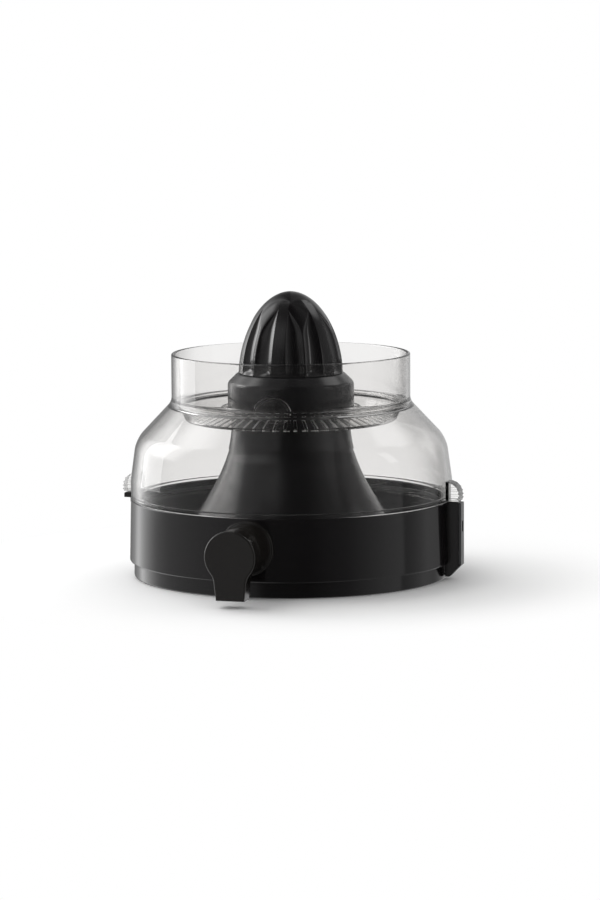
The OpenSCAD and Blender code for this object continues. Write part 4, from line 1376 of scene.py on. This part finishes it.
def roomGlow(shader, direction, s):
    # the room is dark in front of the object and gets lighter to its sides and behind it
    turn = math.radians(s["frontTurn"])
    front = (math.sin(turn), -math.cos(turn), 0)
    right = (math.cos(turn), math.sin(turn), 0)
    across = towards(shader, direction, right)
    angle = across.combine("ARCTAN2", across, towards(shader, direction, front))
    rise = towards(shader, direction, (0, 0, 1))
    brightest = max(level for degrees, level in s["room"])
    stops = []
    for degrees, level in s["room"]:
        grey = level / brightest
        stops.append((degrees / 360 + 0.5, (grey, grey, grey, 1)))
    levels = shader.node("ShaderNodeValToRGB", {"stops": stops}, {"Fac": angle / math.tau + 0.5})
    glow = Signal(shader, levels.outputs["Color"]) * brightest * (1 - rise.above(0.2, 0.8) * s["ceilingDark"])
    for card in s["cards"]:
        soft = math.radians(card["soft"])
        start, end = [math.radians(degrees) for degrees in card["turn"]]
        low, high = [math.radians(degrees) for degrees in card["rise"]]
        shown = angle.above(start - soft, start + soft) * (1 - angle.above(end - soft, end + soft))
        shown = shown * rise.above(math.sin(low - soft), math.sin(low + soft))
        shown = shown * (1 - rise.above(math.sin(high - soft), math.sin(high + soft)))
        glow = glow + shown * card["level"]
    return glow


def makeWorld(s):
    world = bpy.data.worlds.new("studioRoom")
    scene.world = world
    shader = Shader(world)
    direction = shader.node("ShaderNodeTexCoord").outputs["Generated"]
    seen, mirrored = watchers(shader)
    turn = math.radians(s["frontTurn"])
    behind = towards(shader, direction, (-math.sin(turn), math.cos(turn), 0))
    ambient = s["ambient"] * (1 + behind * s["backLight"])
    level = ambient * (1 - seen) + seen
    level = level * (1 - mirrored) + roomGlow(shader, direction, s) * mirrored
    light = shader.node("ShaderNodeBackground", {}, {"Color": (1, 1, 1, 1), "Strength": level})
    shader.finish(light.outputs[0])


def makeFloor(s):
    shader = newShader("studioFloor")
    position = shader.node("ShaderNodeNewGeometry").outputs["Position"]
    flat = shader.node("ShaderNodeVectorMath", {"operation": "MULTIPLY"}, {0: position, 1: (1, 1, 0)})
    grain = shader.noise(shader.place(), 4, 2)
    paper = shader.principled({
        "Base Color": s["floorColour"],
        "Roughness": 0.9,
        "Specular IOR Level": 0.1,
        "Normal": shader.bump(grain, 0.01),
    })
    # the paper keeps the shadow near the object and runs out into plain white
    white = shader.node("ShaderNodeEmission", {}, {"Color": (1, 1, 1, 1), "Strength": 1.0})
    reach = shader.node("ShaderNodeVectorMath", {"operation": "LENGTH"}, {0: flat.outputs[0]})
    seen, mirrored = watchers(shader)
    fade = Signal(shader, reach.outputs["Value"]).above(s["shadowReach"], s["whiteReach"]) * seen
    sheet = shader.node("ShaderNodeMixShader", {}, {0: fade, 1: paper, 2: white.outputs[0]})
    # reflections look through the floor into the room
    clear = shader.node("ShaderNodeBsdfTransparent")
    both = shader.node("ShaderNodeMixShader", {}, {0: mirrored, 1: sheet.outputs[0], 2: clear.outputs[0]})
    material = shader.finish(both.outputs[0])
    bm = bmesh.new()
    bmesh.ops.create_grid(bm, x_segments=8, y_segments=8, size=s["floorSize"] / 2)
    bmesh.ops.translate(bm, vec=(0, 0, -0.0002), verts=bm.verts)
    floor = addMesh("studioFloor", bm)
    floor.data.materials.append(material)


def makeLamp(name, place, aim, width, height, watts, glossy=True):
    lamp = bpy.data.lights.new(name, "AREA")
    lamp.shape = "RECTANGLE"
    lamp.size = width
    lamp.size_y = height
    lamp.energy = watts
    holder = addObject(name, lamp)
    away = Vector(place) - Vector(aim)
    holder.matrix_world = Matrix.Translation(place) @ away.to_track_quat("Z", "Y").to_matrix().to_4x4()
    holder.visible_camera = False
    holder.visible_glossy = glossy
    holder.visible_transmission = False


makeWorld(studio)
makeFloor(studio)
makeLamp("leftSoftbox", (-0.5, 0.055, 0.22), (0, 0, 0.22), 0.24, 0.42, 0.8)
makeLamp("rightSoftbox", (0.5, -0.015, 0.27), (0, 0, 0.27), 0.07, 0.28, 0.12)
makeLamp("topSoftbox", (-0.75, 0.3, 1.1), (0, 0, 0), 1.2, 1.2, 8.6, False)

scene.view_settings.view_transform = "Standard"
scene.cycles.max_bounces = 24
scene.cycles.transmission_bounces = 24
scene.cycles.transparent_max_bounces = 32
print("studio ready")
